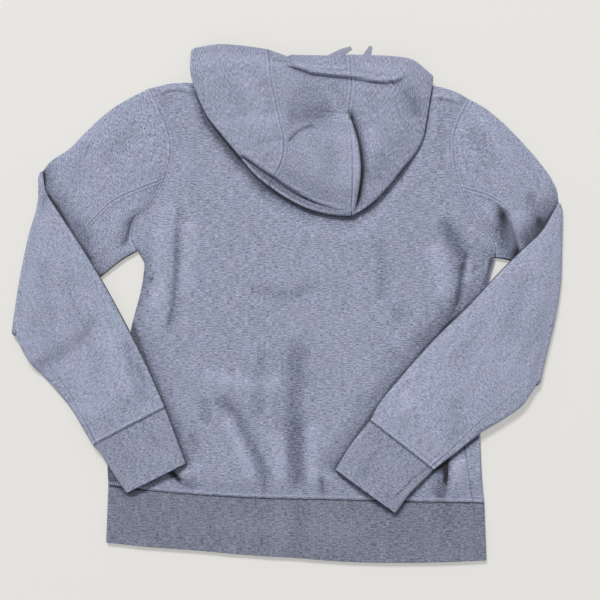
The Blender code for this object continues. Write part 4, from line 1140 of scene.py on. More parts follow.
def front_wrap(front):
    """The strip of the right front that turns over the side and lies on the back."""
    turn = [(FOLD * (1 - math.sin(a)), FOLD * (1 - math.cos(a))) for a in reversed(WRAP_TURN)]
    wrap = []
    for start, share in zip(front[: ARMPIT_ROW + 1, -1], SIDE_SHARES):
        flat_part = [(FOLD + k / 8 * (wrap_width(share) - FOLD), 0.0) for k in range(1, 9)]
        wrap.append([tuple(start)])
        for inset, drop in [*turn[1:], *flat_part]:
            wrap[-1].append((start[0] - inset, start[1] + WRAP_SLOPE * inset, BACK_Z - drop, 0.0))
    wrap = np.array(wrap)
    height, painted_shading = back_surface(wrap[..., :2])
    on_top = wrap[..., 2] > BACK_Z - 1e-6
    wrap[..., 2] += np.where(on_top, height - BACK_Z, 0.0)
    wrap[..., 3] = np.where(on_top, painted_shading, 0.0)
    return wrap


fronts = {-1: [front_panel(-1)], 1: [front_panel(1)]}
fronts[1].append(front_wrap(fronts[1][0]))
for side, word in SIDES:
    cloth = sheet_mesh(fronts[side], cuts=[flat_cut(grid) for grid in fronts[side]])
    finished(f"front_{word}_jersey", cloth, jersey, [f"front_{word}"], wall=CLOTH)

# %% [markdown]
# The waistband is one strip of rib. It starts at the left edge of the zip, goes round the back and
# ends at the right edge, so it is open only at the zip.

# %% The waistband
BAND_WIDTH = 0.506
BAND_TURN = 0.012  # the share of the width that a rounded side takes
RIB_SEAM_HALF = 0.0016
ROLL = tuple((FOLD * (1 - math.sin(a)), math.cos(a)) for a in stops(0.0, (8, math.pi)))
BAND_CREASES = creases(
    (10, -0.7, (14, -256), (14, -290), (15, -344)),
    (8, -0.6, (-32, -256), (-34, -300), (-34, -338)),
    (9, 0.7, (-9, -256), (-8, -340)),
    (9, 0.6, (34, -256), (36, -344)),
    (7, -1.0, (213, -262), (214, -290), (216, -330)),
    (14, 0.8, (-120, -290), (-60, -300), (20, -306), (120, -308)),
)


def waistband():
    """The band's grid: its columns run from the zip round the back to the zip, its rows up the band."""
    top, bottom = moved(smooth(WAIST), -GAP / 2), smooth(HEM)
    half_wall = RIB / 2
    around = [(u, -1.0) for u in stops(FRONT_WAISTS[-1][1], (50, BAND_TURN))]
    around += [((half_wall + edge) / BAND_WIDTH, up) for edge, up in reversed(ROLL)]
    around += [(u, 1.0) for u in stops(BAND_TURN, (110, 1 - BAND_TURN))]
    around += [(1 - (half_wall + edge) / BAND_WIDTH, up) for edge, up in ROLL]
    around += [(u, -1.0) for u in stops(1 - BAND_TURN, (50, FRONT_WAISTS[1][0]))]
    rows = []
    for h in stops(0.0, (26, 0.94), (6, 1.0)):
        rows.append([(*(bottom(u) + h * (top(u) - bottom(u))), half_wall + FOLD * (1 + up))
                     for u, up in around])
    grid = np.array(rows)
    upper = np.array([max(0.0, up) for _, up in around])
    bends = upper * (relief(grid[..., :2], BAND_CREASES) + wander(grid[..., :2], 0.03, 0.0006, 9.0))
    grid[..., 2] += bends
    # Shade painted into the band: a dark line in the waist seam, beside the cuffs that lie on it, and in its
    # folds, with ridges painted lighter.
    seam = upper * np.exp(-(((grid[-1:, :, 1] - grid[..., 1]) / RIB_SEAM_HALF) ** 2))
    painted_contact_shade = upper * 2.3 * near_cuff(grid[..., :2], CUFF_REACH)
    return np.dstack([grid, painted_shading_of(bends) + 3.6 * seam + painted_contact_shade])


band = waistband()
finished("waistband_rib", sheet_mesh([band]), rib, ["waistband"], wall=RIB)

# %% [markdown]
# ## The sleeves
#
# Each sleeve is a flattened tube, folded at the elbow so that the forearm lies over the upper arm and
# the back. A row of points goes round the tube at every station along the arm. The tube is cut in two
# pieces: a wide main piece and a narrow under piece that carries the two long seams.

# %% Stations along a sleeve
BACK_SEAM, FRONT_SEAM = 0.53, 0.73  # shares across the sleeve at the armhole
ELBOW_BACK_SEAM, ELBOW_FRONT_SEAM = 0.74, 0.85  # and at the elbow
BACK_SEAM_SHIFT, FRONT_SEAM_SHIFT = 0.16, 0.11  # from the elbow to the cuff
UPPER_STOPS = stops(0.0, (14, 0.06), (50, 0.985))
BEND_STOPS = stops(0.0, (10, math.pi))
FORE_STOPS = stops(0.02, (92, 0.95), (10, 1.0))
DROP = 0.025
OVERHANG = 0.038
FOLD_WIDTH = 0.2
Station = namedtuple("Station", "centre bend back_seam front_seam laid along")
LAPS = {-1: ((-0.362, -0.044), (-0.200, 0.070)), 1: ((0.299, 0.056), (0.331, -0.111))}


def support(side, xy):
    """1 where a forearm lies on the upper arm or the body, 0 where it reaches the floor."""
    start, end = (np.array(point) for point in LAPS[side])
    way = unit(end - start)
    over_arm = way[0] * (xy[1] - start[1]) - way[1] * (xy[0] - start[0])
    rows = SIDE_LEFT if side < 0 else SIDE_RIGHT
    edge = np.interp(xy[1], [p.y for p in rows], [p.x for p in rows])
    over_body = (edge - xy[0]) * side
    return float(ease(1 + (max(over_arm, over_body) + OVERHANG) / DROP))


def chord(first, second, t, u):
    """The straight middle line of a sleeve between its two edges, set in by half the wall."""
    a, b = first(t), second(t)
    width = np.linalg.norm(b - a)
    inset = CLOTH / 2 / width
    return a + (inset + u * (1 - 2 * inset)) * (b - a)


def sleeve_stations(arm, first_ring):
    """The places along a sleeve: down the upper arm, round the elbow's bend and down the forearm."""
    outer, under, fold = smooth(arm.outer), smooth(arm.under), smooth(arm.fold)
    fore_top, fore_low = smooth(arm.fore_top), smooth(arm.fore_low)

    @lru_cache(maxsize=None)
    def folded(u):
        inset = CLOTH / 2 / FOLD_WIDTH
        return fold(inset + u * (1 - 2 * inset))

    def bow(u):
        return folded(u) - chord(lambda t: fold(0.0), lambda t: fold(1.0), 0.0, u)

    @lru_cache(maxsize=None)
    def armhole_bow(u):
        return first_ring(u, 0.0) - (first_ring(0.0, 0.0) * (1 - u) + first_ring(1.0, 0.0) * u)

    def upper_centre(t):
        near_arm, near_fold = float(ease(1 - t / 0.3)), float(ease((t - 0.6) / 0.4))
        begun = min(1.0, t / 0.1)

        def centre(u, h):
            here = chord(outer, under, t, u) + near_arm * armhole_bow(u) + near_fold * bow(u)
            return first_ring(u, h) * (1 - begun) + here * begun if begun < 1.0 else here

        return centre

    def fore_centre(t):
        near_fold = float(ease(1 - t / 0.35))
        return lambda u, h: chord(fore_top, fore_low, t, u) + near_fold * bow(u)

    stations = []
    for t in UPPER_STOPS:
        back_seam = BACK_SEAM + (ELBOW_BACK_SEAM - BACK_SEAM) * t
        front_seam = FRONT_SEAM + (ELBOW_FRONT_SEAM - FRONT_SEAM) * t
        stations.append(Station(upper_centre(t), 0.0, back_seam, front_seam, False, t))
    for bend in BEND_STOPS:
        stations.append(Station(lambda u, h: folded(u), bend, ELBOW_BACK_SEAM, ELBOW_FRONT_SEAM, False, 1.0))
    for t in FORE_STOPS:
        back_seam = ELBOW_BACK_SEAM + BACK_SEAM_SHIFT * t
        front_seam = ELBOW_FRONT_SEAM + FRONT_SEAM_SHIFT * t
        stations.append(Station(fore_centre(t), math.pi, back_seam, front_seam, True, 1.0 + t))
    return stations


def sleeve_point(side, arm, station, u, h):
    """A point of a sleeve: u across from its outer edge, h up from the middle of its two layers."""
    reach = FOREARM_LIFT / 2
    outward = unit(np.array(arm.outward))
    xy = station.centre(u, h / FOLD)
    if station.laid:
        return (*xy, SLEEVE_Z + FOREARM_LIFT * support(side, xy) - h)
    corner = math.sqrt(1 - max(0.0, 1 - u / 0.045, 1 - (1 - u) / 0.03) ** 2)
    xy = xy + outward * (reach - h) * corner * math.sin(station.bend)
    return (*xy, SLEEVE_Z + reach - (reach - h) * math.cos(station.bend))


print("stations along a sleeve:", len(UPPER_STOPS) + len(BEND_STOPS) + len(FORE_STOPS))

# %% [markdown]
# Cloth creases most at the elbow and in the armpit, where a flat tube has to turn. The forearms have
# long soft pleats that run towards the cuff, because the cuff gathers the sleeve's end.

# %% Folds of the sleeves
SLEEVE_CREASES = creases(
    (5, -4.4, (-205, 116), (-209, 98), (-215, 80), (-220, 68)),
    (6, 2.7, (-222, 122), (-226, 100), (-232, 80)),
    (7, -6.1, (289, 126), (285, 98), (284, 70)),
    (6, -3.7, (280, 70), (294, 64), (310, 64)),
    (9, 3.4, (306, 122), (313, 100), (319, 84)),
    (8, -4.1, (324, 148), (332, 120), (346, 96)),
    (7, 2.4, (268, 130), (270, 106), (272, 84)),
    (10, -2.0, (238, 232), (262, 206), (276, 176)),
    (9, 1.7, (256, 246), (282, 214), (300, 180)),
    (10, -1.9, (-196, 232), (-224, 206), (-240, 172)),
    (10, -1.7, (-262, 214), (-276, 180), (-284, 150)),
    (6, -2.4, (-316, 144), (-323, 137), (-333, 118)),
    (12, -3.7, (-214, -50), (-196, -96), (-186, -128), (-196, -160)),
    (10, 2.0, (-236, -40), (-220, -90), (-206, -130)),
    (9, 2.0, (-178, -112), (-170, -140), (-166, -160)),
    (10, -1.7, (-330, 60), (-318, 10), (-306, -40)),
    (12, -1.9, (-296, 40), (-280, -10), (-262, -60), (-250, -110)),
    (9, -1.5, (-340, -20), (-316, -50), (-296, -84)),
    (11, -2.5, (224, -124), (226, -160), (222, -200)),
    (10, -1.7, (262, -20), (244, -60), (220, -96)),
    (12, -2.0, (320, 40), (306, -10), (292, -60)),
    (9, -1.7, (344, -10), (328, -50), (312, -84)),
    (9, 1.7, (170, -120), (150, -150), (130, -176)),
    (8, -1.7, (160, -160), (140, -186), (120, -208)),
)
# Shade painted into the sleeves' colour in the deepest folds at the armpits and the elbows.
SLEEVE_SHADOWS = (
    (8, 1.4, (282, 124), (288, 108), (292, 88), (291, 64)),
    (8, 0.6, (274, 108), (280, 90), (282, 70)),
    (8, 1.5, (311, 80), (320, 90), (330, 102), (338, 116)),
    (9, 0.6, (336, 110), (344, 124), (350, 142)),
    (3, 2.0, (-204, 120), (-209, 106), (-213, 92), (-221, 74)),
    (5, 1.2, (-318, 146), (-322, 140), (-330, 128)),
    (7, 0.8, (-262, 76), (-270, 92), (-284, 112)),
)
SLEEVE_FOLDS = folds(
    (3.6, 11, 0.8, 2.0, (312, 60), (310, 76), (304, 97), (298, 112), (289, 126), (278, 136)),
)
print("folds of the sleeves:", len(SLEEVE_FOLDS) + len(SLEEVE_CREASES), "darkened:", len(SLEEVE_SHADOWS))

# %% [markdown]
# Every ring round the tube has the same number of points, so that they line up along the arm. The
# seams wander across the sleeve from the armhole to the cuff, and the points are stretched with them.

# %% Rings round a sleeve
BACK_COLUMNS = 38
FRONT_COLUMNS = 40
UNDER_COLUMNS = 22
SIDE_SHARE = 0.035  # the share across that a rounded side takes
SEAM_BAND = 0.04  # the share beside a seam where the columns are closer


def remapped(share, seam, moved_seam):
    """A share across the sleeve, stretched so that the seam comes to its new place."""
    if share <= seam:
        return share * moved_seam / seam
    return moved_seam + (share - seam) * (1 - moved_seam) / (1 - seam)


def ring_stops(station, part):
    """The places round the sleeve, as shares across and sides up, of its main or its under piece."""
    width = np.linalg.norm(station.centre(1.0, 0.0) - station.centre(0.0, 0.0))
    slit = GAP / width

    def layer(shares, up, trim):
        seam, moved_seam = (BACK_SEAM, station.back_seam) if up > 0 else (FRONT_SEAM, station.front_seam)
        made = [(remapped(share, seam, moved_seam), up) for share in shares]
        at_seam = 0 if trim > 0 else -1
        made[at_seam] = (made[at_seam][0] + trim * slit, up)
        return made

    roll = [(inset / width, up) for inset, up in ROLL]
    if part == "main":
        back_shares = stops(SIDE_SHARE, (BACK_COLUMNS - 10, BACK_SEAM - SEAM_BAND), (10, BACK_SEAM))
        front_shares = stops(SIDE_SHARE, (FRONT_COLUMNS - 8, FRONT_SEAM - SEAM_BAND), (8, FRONT_SEAM))
        return [*reversed(layer(back_shares, 1.0, -1)), *roll, *layer(front_shares, -1.0, -1)]
    far_side = 1 - SIDE_SHARE
    back_shares = stops(BACK_SEAM, (8, BACK_SEAM + SEAM_BAND), (UNDER_COLUMNS - 8, far_side))
    front_shares = stops(FRONT_SEAM, (12, far_side))
    far_roll = [(1 - inset, up) for inset, up in roll]
    return [*layer(back_shares, 1.0, 1), *far_roll, *reversed(layer(front_shares, -1.0, 1))]


print("columns of a sleeve's upper layer:", BACK_COLUMNS + UNDER_COLUMNS)

# %% [markdown]
# A sleeve that lies flat still holds some air, so its upper layer is a soft crown. The crown fades out
# at the armhole, at the elbow fold, at the cuff, and wherever the forearm presses the upper arm down.
# Where the forearm touches what lies under it, the cloth below is painted darker towards the line of
# contact, as shade.

# %% The surface of a sleeve
PUFF = 0.0058


def sleeve_piece(side, arm, stations, part):
    """The points of one piece of a sleeve, with the air and the creases of its upper layer, and the shade
    painted on it.
    """
    rows, across, top, along, facing = [], [], [], [], []
    for station in stations:
        places = ring_stops(station, part)
        rows.append([sleeve_point(side, arm, station, u, up * FOLD) for u, up in places])
        across.append([u for u, up in places])
        flat = station.bend in (0.0, math.pi)
        top.append([max(0.0, (-up if station.laid else up)) if flat else 0.0 for _, up in places])
        along.append([station.along] * len(places))
        facing.append([-up if station.laid else up for _, up in places])
    grid, across, top, along, facing = (np.array(values) for values in (rows, across, top, along, facing))
    xy, fore = grid[..., :2], along > 1.0
    inside = -side * beside(smooth(arm.fore_top), xy)[0]
    clear = np.where(fore, 1.0, ease((inside - 0.004) / 0.026))
    crown = np.clip(4 * across * (1 - across), 0.0, 1.0) ** 0.45
    crown *= ease(along / 0.12) * ease(np.abs(along - 1.0) / 0.16) * ease((2.0 - along) / 0.16)
    edge = np.clip(crown * 1.6, 0.0, 1.0)
    bends, tucks = relief(xy, SLEEVE_CREASES), overlaps(xy, SLEEVE_FOLDS)
    deep = (0.45 * painted_shading_of(bends) + painted_shading_of(tucks)) * edge + shadows(xy, SLEEVE_SHADOWS)
    bends += tucks
    bends += wander(xy, 0.04, 0.0012, 11.0 + side) + wander(xy, 0.014, 0.0004, 13.0)
    grid[..., 2] += top * clear * (PUFF * crown + bends * edge)
    # The rolled edges are painted dark, as the shade where the cloth turns under.
    rolled = np.exp(-((across * (1 - across) / 0.02) ** 2)) * ease((1.0 - facing) / 0.35)
    over = np.where(across < 0.5, 1.0, ease((along - 1.62) / 0.08))
    rolled *= np.where(fore, np.maximum(over, 0.3), np.where(across < 0.5, 0.15, 0.8))
    # Shade painted on the upper arm, unevenly, towards the forearm's line of contact; the forearm's top is
    # painted a little lighter and the upper arm's a little darker.
    uneven = 1.0 + 0.7 * wander(xy, 0.024, 1.0, 17.0)
    contact = 2.3 * uneven * np.exp(-np.maximum(inside, 0.0) / 0.0055) + 0.5 * (1.0 - clear)
    painted_shading = top * (deep + np.where(fore, -0.12, 0.12 + contact)) + 3.6 * rolled
    grid = np.dstack([grid, painted_shading])
    far = np.where(fore & (across > 0.7), 0.25 + 0.75 * ease((along - 1.84) / 0.1), 1.0)
    for place, seed in (("left", 61.0), ("right", 62.0), ("low", 63.0), ("high", 64.0)):
        welted(grid, place, seed + side, top * clear * far)
    return grid


# %% [markdown]
# The flat cut of a sleeve's piece can't be read from its plan, because the tube is bent. Its two
# straight parts are measured along the arm, and the bend between them along its own curve. The first
# ring of the sleeve takes the very points of the armhole's edge, so the seam between them stays even.

# %% The sleeves
ARMPIT_CLEAR = 0.0012


def sleeve_cut(grid, arm):
    """The flat cut of a sleeve's piece: across along its rows, and along as its straight parts run."""
    across = lengths(grid, 1)
    across -= across[:, grid.shape[1] // 2][:, None]
    bent = grid.shape[0] - len(FORE_STOPS)
    flat = bent - len(BEND_STOPS)
    along = np.zeros(across.shape)
    parts = ((slice(0, flat), arm.armhole, arm.fold), (slice(bent - 1, None), arm.fold, arm.cuff_top))
    for rows, start, end in parts:
        run = grid[rows, :, :2] @ unit(np.mean(end, axis=0) - np.mean(start, axis=0))
        along[rows] = run - run[0] + along[rows][0]
        if rows.stop:
            turned = lengths(grid[flat - 1 : bent], 0)
            along[flat - 1 : bent] = along[flat - 1] + turned
            along[:bent] += run[0] - run[0].mean()
    return np.dstack([across, along])


def armhole_ring(side, back, front):
    """The sleeve's first ring: the armhole's own edge points, moved out by the gap."""
    column = 0 if side < 0 else -1
    shares = [0.0, FOLD / ARMHOLE_LENGTH, *ARMHOLE_SHARES]
    shares += [1.0 - edge.folded / ARMHOLE_LENGTH for edge in reversed(SEAMED)]
    edges = []
    for grid in (front, back):
        points = grid[ARMPIT_ROW:, column, :2].copy()
        points[0] = front[ARMPIT_ROW, column, :2]
        ways = np.gradient(points, axis=0)
        ways /= np.maximum(np.linalg.norm(ways, axis=1)[:, None], 1e-9)
        edges.append(points + np.column_stack([-ways[:, 1], ways[:, 0]]) * -side * GAP)

    @lru_cache(maxsize=None)
    def at(u, up):
        t = 1.0 - u
        low, high = (np.array([np.interp(t, shares, edge[:, k]) for k in (0, 1)]) for edge in edges)
        clear = np.array([side * ARMPIT_CLEAR * float(ease((u - 0.93) / 0.07)), 0.0])
        return low + (high - low) * (up + 1) / 2 + clear

    return at


sleeves = {}
for side, word in SIDES:
    stations = sleeve_stations(ARMS[side], armhole_ring(side, back, fronts[side][0]))
    for part in ("main", "under"):
        piece = sleeve_piece(side, ARMS[side], stations, part)
        sleeves[side, part] = piece
        finished(f"sleeve_{word}_{part}_jersey", sheet_mesh([piece], cuts=[sleeve_cut(piece, ARMS[side])]),
                 sleeve_jersey, [f"sleeve_{word}_{part}"], wall=CLOTH)

# %% [markdown]
# A cuff is a closed tube of rib. It is as wide as the sleeve's end where it is sewn on, and narrows
# towards its open end.

# %% The cuffs
CUFF_STOPS = stops(0.008, (6, 0.08), (24, 1.0))
CUFF_SIDE = 0.06  # the share across that a rounded side takes
CUFF_PUFF = 0.0016
CUFF_LIFT = FOREARM_LIFT + 0.0004
MOUTH = 0.0045  # how much higher the open end stands
CUFF_CREASES = creases(
    (6, -1.0, (122, -196), (110, -216), (96, -236)),
    (2.4, 0.7, (189, -225), (176, -236), (162, -249), (150, -262)),
    (3.4, -1.0, (112, -244), (118, -236), (126, -230)),
    (6, -0.9, (-196, -150), (-180, -176), (-166, -200)),
    (6, -0.8, (-226, -178), (-212, -204), (-196, -232)),
)
# Painted dark lines: the first row is the right cuff's closing seam, the others the shade of soft folds.
CUFF_SHADOWS = (
    (1.5, 3.4, (196, -210), (184, -221), (170, -231), (157.5, -243.5), (149.5, -251), (139, -262)),
    (10, 0.6, (104, -160), (112, -172), (122, -186)),
    (10, 0.5, (138, -240), (130, -252), (122, -262)),
)


def near_row(grid, row):
    """1 at a row of a cuff's grid, fading within a seam's width."""
    gaps = ((row[None, :, :2] - grid[..., :2]) ** 2).sum(axis=-1)
    return np.exp(-gaps / RIB_SEAM_HALF**2)


def rounded_side(u, up):
    """How far a place round a cuff is turned down at its side, for the shade painted there; the outer side
    counts less.
    """
    turned = ease((1.0 + up) / 0.35) * math.exp(-((u * (1 - u) / 0.03) ** 2))
    return turned * (1.0 if u < 0.5 else 0.3)


def cuff(side, arm):
    """A cuff's grid: its columns go once round, its rows run from the sleeve to the open end."""
    top, low = smooth(arm.cuff_top), smooth(arm.cuff_low)
    flat = stops(CUFF_SIDE, (62, 1 - CUFF_SIDE))
    rows, placed = [], []
    for t in CUFF_STOPS:
        a, b = top(t), low(t)
        width = np.linalg.norm(b - a)
        roll = [(RIB / 2 / width + edge / width, up) for edge, up in ROLL]
        places = [*roll, *[(share, -1.0) for share in flat]]
        places += [*[(1 - u, up) for u, up in reversed(roll)], *[(share, 1.0) for share in reversed(flat)]]
        places = [*places, places[0]]
        row = []
        for u, up in places:
            xy = a + u * (b - a)
            row.append((*xy, SLEEVE_Z + CUFF_LIFT * support(side, xy) - up * FOLD))
        rows.append(row)
        placed.append(places)
    grid = np.array(rows)
    xy = grid[..., :2]
    upper = np.array([[max(0.0, -up) * (4 * u * (1 - u)) ** 0.6 for u, up in row] for row in placed])
    visible = np.array([[1.0 if up < 0 else 0.0 for _, up in row] for row in placed])
    rolled = np.array([[rounded_side(u, up) for u, up in row] for row in placed])
    bends = relief(xy, CUFF_CREASES) + wander(xy, 0.03, 0.0008, 21.0 + side)
    grid[..., 2] += upper * (CUFF_PUFF + bends + MOUTH * np.array(CUFF_STOPS)[:, None] ** 2)
    # Shade painted on the cuff: its folds, the seam to the sleeve and the turned-down sides, with the open
    # end's rim painted a little lighter.
    deep = painted_shading_of(bends) + shadows(xy, CUFF_SHADOWS)
    ends = 3.0 * near_row(grid, grid[0]) - 0.3 * near_row(grid, grid[-1])
    return np.dstack([grid, upper * deep + visible * ends + 4.4 * rolled])


cuffs = {side: cuff(side, ARMS[side]) for side, _ in SIDES}
for side, word in SIDES:
    finished(f"cuff_{word}_rib", sheet_mesh([cuffs[side]]), cuff_rib, [f"cuff_{word}"], wall=RIB)

# %% [markdown]
# ## The hood
#
# The hood lies open side up on the shoulders. Each side is one sheet: it starts at the neck seam under
# the hood, turns over at the outer edge in a soft fold and comes back on top to the centre strip. The
# part that goes down inside the neck hangs from the same sheet.

# %% Folds of the hood
LEDGE = table((-140, 316), (-136, 292), (-112, 250), (-92, 222), (-74, 204), (-54, 193), (-34, 179),
              (-14, 166), (2, 154), (14, 147), (41, 133), (58, 127), (80, 120))
LEDGE_DROP = 0.0060
HOOD_FOLDS = folds(
    (8.0, 10, 1.4, 1.3, (78, 262), (81, 250), (86, 236), (91, 220), (95, 198), (96.5, 177), (94, 151),
     (90, 128), (88, 116)),
    (5.0, 7, 1.4, 1.2, (160, 303), (152, 298), (143, 295), (123, 294), (104, 297), (88, 299), (60, 302),
     (36, 305), (12, 313), (-8, 317)),
    (3.6, 6, 0.9, 1.2, (40, 238), (28, 235), (18, 231), (9, 224), (2, 216), (-1, 211)),
)
HOOD_CREASES = creases(
    (22, -1.5, (14, 288), (40, 276), (66, 268)),
    (13, 2.6, (66, 252), (78, 226), (84, 200), (84, 172), (80, 140)),
    (20, -3.0, (0, 246), (30, 250), (64, 254)),
    (12, 1.6, (112, 234), (116, 206), (114, 176)),
    (7, 1.2, (14, 324), (40, 316), (90, 310), (140, 307), (170, 306)),
    (1.7, 0.7, (26, 314), (52, 311), (80, 311)),
    (1.7, -0.7, (26, 317), (52, 315), (80, 315)),
    (9, -1.6, (0, 236), (20, 240), (52, 242)),
    (9, -2.2, (142, 294), (154, 278), (168, 262), (174, 243)),
    (8, -1.4, (112, 282), (113, 268), (117, 250)),
    (8, -1.8, (62, 294), (70, 276), (79, 254)),
    (7, -1.4, (-43, 205), (-24, 213), (-4, 220)),
    (10, -1.2, (-84, 300), (-70, 270), (-52, 244)),
    (10, 1.2, (-60, 306), (-46, 276), (-30, 250)),
    (9, -0.9, (-30, 300), (-22, 270), (-18, 246)),
    (10, 1.2, (130, 262), (140, 236), (150, 214)),
    (9, -1.3, (120, 200), (126, 178), (122, 156)),
    (9, 1.4, (20, 210), (34, 190), (44, 170)),
    (10, -1.2, (50, 206), (60, 186), (66, 166)),
    (8, 1.2, (50, 284), (60, 262), (70, 244)),
)
# Shade painted into the hood's colour: beside the strip's fold, in its dip, at the rim and broadly over the
# right side.
HOOD_SHADOWS = (
    (4.5, 1.5, (84, 250), (92, 228), (99, 200), (101, 178), (98, 152), (92, 130)),
    (4, 1.2, (82, 258), (84, 250), (88, 242)),
    (9, 0.5, (-6, 176), (20, 160), (44, 148), (70, 140)),
    (10, 0.6, (20, 250), (48, 256), (70, 256)),
    (8, 0.7, (158, 286), (168, 268), (176, 246)),
    (1.8, 1.4, (-25, 338), (-24, 330), (-23, 322)),
    (2.4, 1.2, (-24, 322), (-8, 321), (6, 318), (14, 313)),
    (34, 0.35, (150, 290), (146, 250), (134, 190), (114, 150)),
)
print("folds of the hood:", len(HOOD_FOLDS) + len(HOOD_CREASES), "darkened:", len(HOOD_SHADOWS))

# %% [markdown]
# The under layer rests on the back and sinks past the shoulders to the floor. The upper layer has all
# the folds, and at its rim a ledge: past it the hood is pressed flat, because nothing fills it there.

# %% Heights of the hood
HOOD_Z = BACK_Z + CLOTH + 3 * GAP
THROAT_Z = CLOTH + 0.0014
RIM_Z = 0.003


def hood_under_z(xy):
    """The middle of the hood's under layer, which sinks past the shoulders' top edge."""
    x, y = xy[..., 0], xy[..., 1]
    rows = [*SHOULDER_LEFT, *SHOULDER_RIGHT]
    past = y - np.interp(x, [p.x for p in rows], [p.y for p in rows])
    return HOOD_Z + neck_lift(x, y, 0.035) - (HOOD_Z - RIM_Z) * ease((past - 0.012) / 0.023)


def hood_over(xy):
    """The hood's upper layer: its creases, the step down to the part pressed flat, and the shade painted on
    it.
    """
    inside = beside(smooth(LEDGE), xy)[0]
    x, y = xy[..., 0], xy[..., 1]
    open_end = ease((0.090 - x) / 0.03) * ease((0.330 - y) / 0.03)
    step = LEDGE_DROP * (1 - ease((inside + 0.0004) / 0.0013))
    lip = 0.0010 * np.exp(-(((inside - 0.0030) / 0.0028) ** 2))
    bends, tucks = relief(xy, HOOD_CREASES), overlaps(xy, HOOD_FOLDS)
    painted_shading = 0.5 * painted_shading_of(bends) + painted_shading_of(0.6 * tucks) + shadows(xy, HOOD_SHADOWS)
    bends += tucks
    # The part pressed flat past the step is painted darker, as the shade of the step, darkest right beside
    # it.
    shade_of_step = (1.5 + 1.2 * np.exp(-np.abs(inside) / 0.0020)) * step / LEDGE_DROP
    return bends + (lip - step) * open_end, painted_shading + shade_of_step * open_end


print("height of the hood's under layer:", hood_under_z(np.array([0.02, 0.22])).round(4), "m")

# %% [markdown]
# Both layers are filled from the same rows, so that they meet along the outer fold, where a half turn
# of columns joins them. The corner at the rim is rounded, as a turned corner of cloth is.

# %% The sides of the hood
HOOD_ROWS = stops(0.0, (8, 0.085), (10, 0.125), (58, 0.86), (22, 1.0))
UNDER_FLAT = stops(0.0, (15, 0.6), (10, 1.0))
NECK_COLUMN = UNDER_FLAT.index(0.6)
OVER_FLAT = stops(0.0, (20, 0.16), (34, 0.80), (26, 0.97), (8, 1.0))[1:]
THROAT_ROWS = stops(0.0, (8, 0.12), (30, 1.0))
HOOD_ROLL = [(1 - math.sin(a), 1 - math.cos(a)) for a in map(math.radians, range(20, 180, 20))]
HOOD_CROWN = 0.0065
CORNER_RADIUS = {-1: 0.005, 1: 0.006}


def rounded_edge(outline, side):
    """The outer edge of a hood's side, with its corner at the rim rounded."""
    line = moved(smooth(outline.fold), -side * CLOTH / 2)
    seam = moved(smooth(outline.seam_over), side * GAP / 2)
    inward = unit(seam(0.0) - line(0.0))
    length = sum(np.linalg.norm(np.diff(np.array(outline.fold), axis=0), axis=1))

    @lru_cache(maxsize=None)
    def edge(w):
        short = max(0.0, 1 - w * length / CORNER_RADIUS[side])
        return line(w) + inward * CORNER_RADIUS[side] * (1 - math.sqrt(1 - short**2))

    return edge


def hood_layer(edge, seam, rim, flat):
    """A layer of a hood's side in plan, from its outer fold to its seam."""
    starts = [HOOD_FOLD / np.linalg.norm(seam(w) - edge(w)) for w in HOOD_ROWS]
    us = [[start + share * (1 - start) for share in flat] for start in starts]
    vs = [[w] * len(flat) for w in HOOD_ROWS]
    return filled(edge, seam, rim, straight(edge(1.0), seam(1.0)), us, vs)


def hood_throat(outline, first):
    """The part that hangs inside the neck, from a row of points of the under layer."""
    shares = [k / NECK_COLUMN for k in range(NECK_COLUMN + 1)]
    throat, rim = smooth(outline.throat), smooth(outline.rim_under)
    inner, outer = fitted(throat, first[0], throat(1.0)), fitted(rim, first[-1], rim(1.0))
    us, vs = [shares] * len(THROAT_ROWS), [[t] * len(shares) for t in THROAT_ROWS]
    top = straight(inner(1.0), outer(1.0))
    plan = filled(inner, outer, lambda share: first[round(share * NECK_COLUMN)], top, us, vs)
    sink = ease(np.array(THROAT_ROWS) / 0.10)[:, None]
    height = hood_under_z(np.array(first))[None, :] * (1 - sink) + THROAT_Z * sink
    return np.dstack([plan, height, np.zeros(height.shape)])


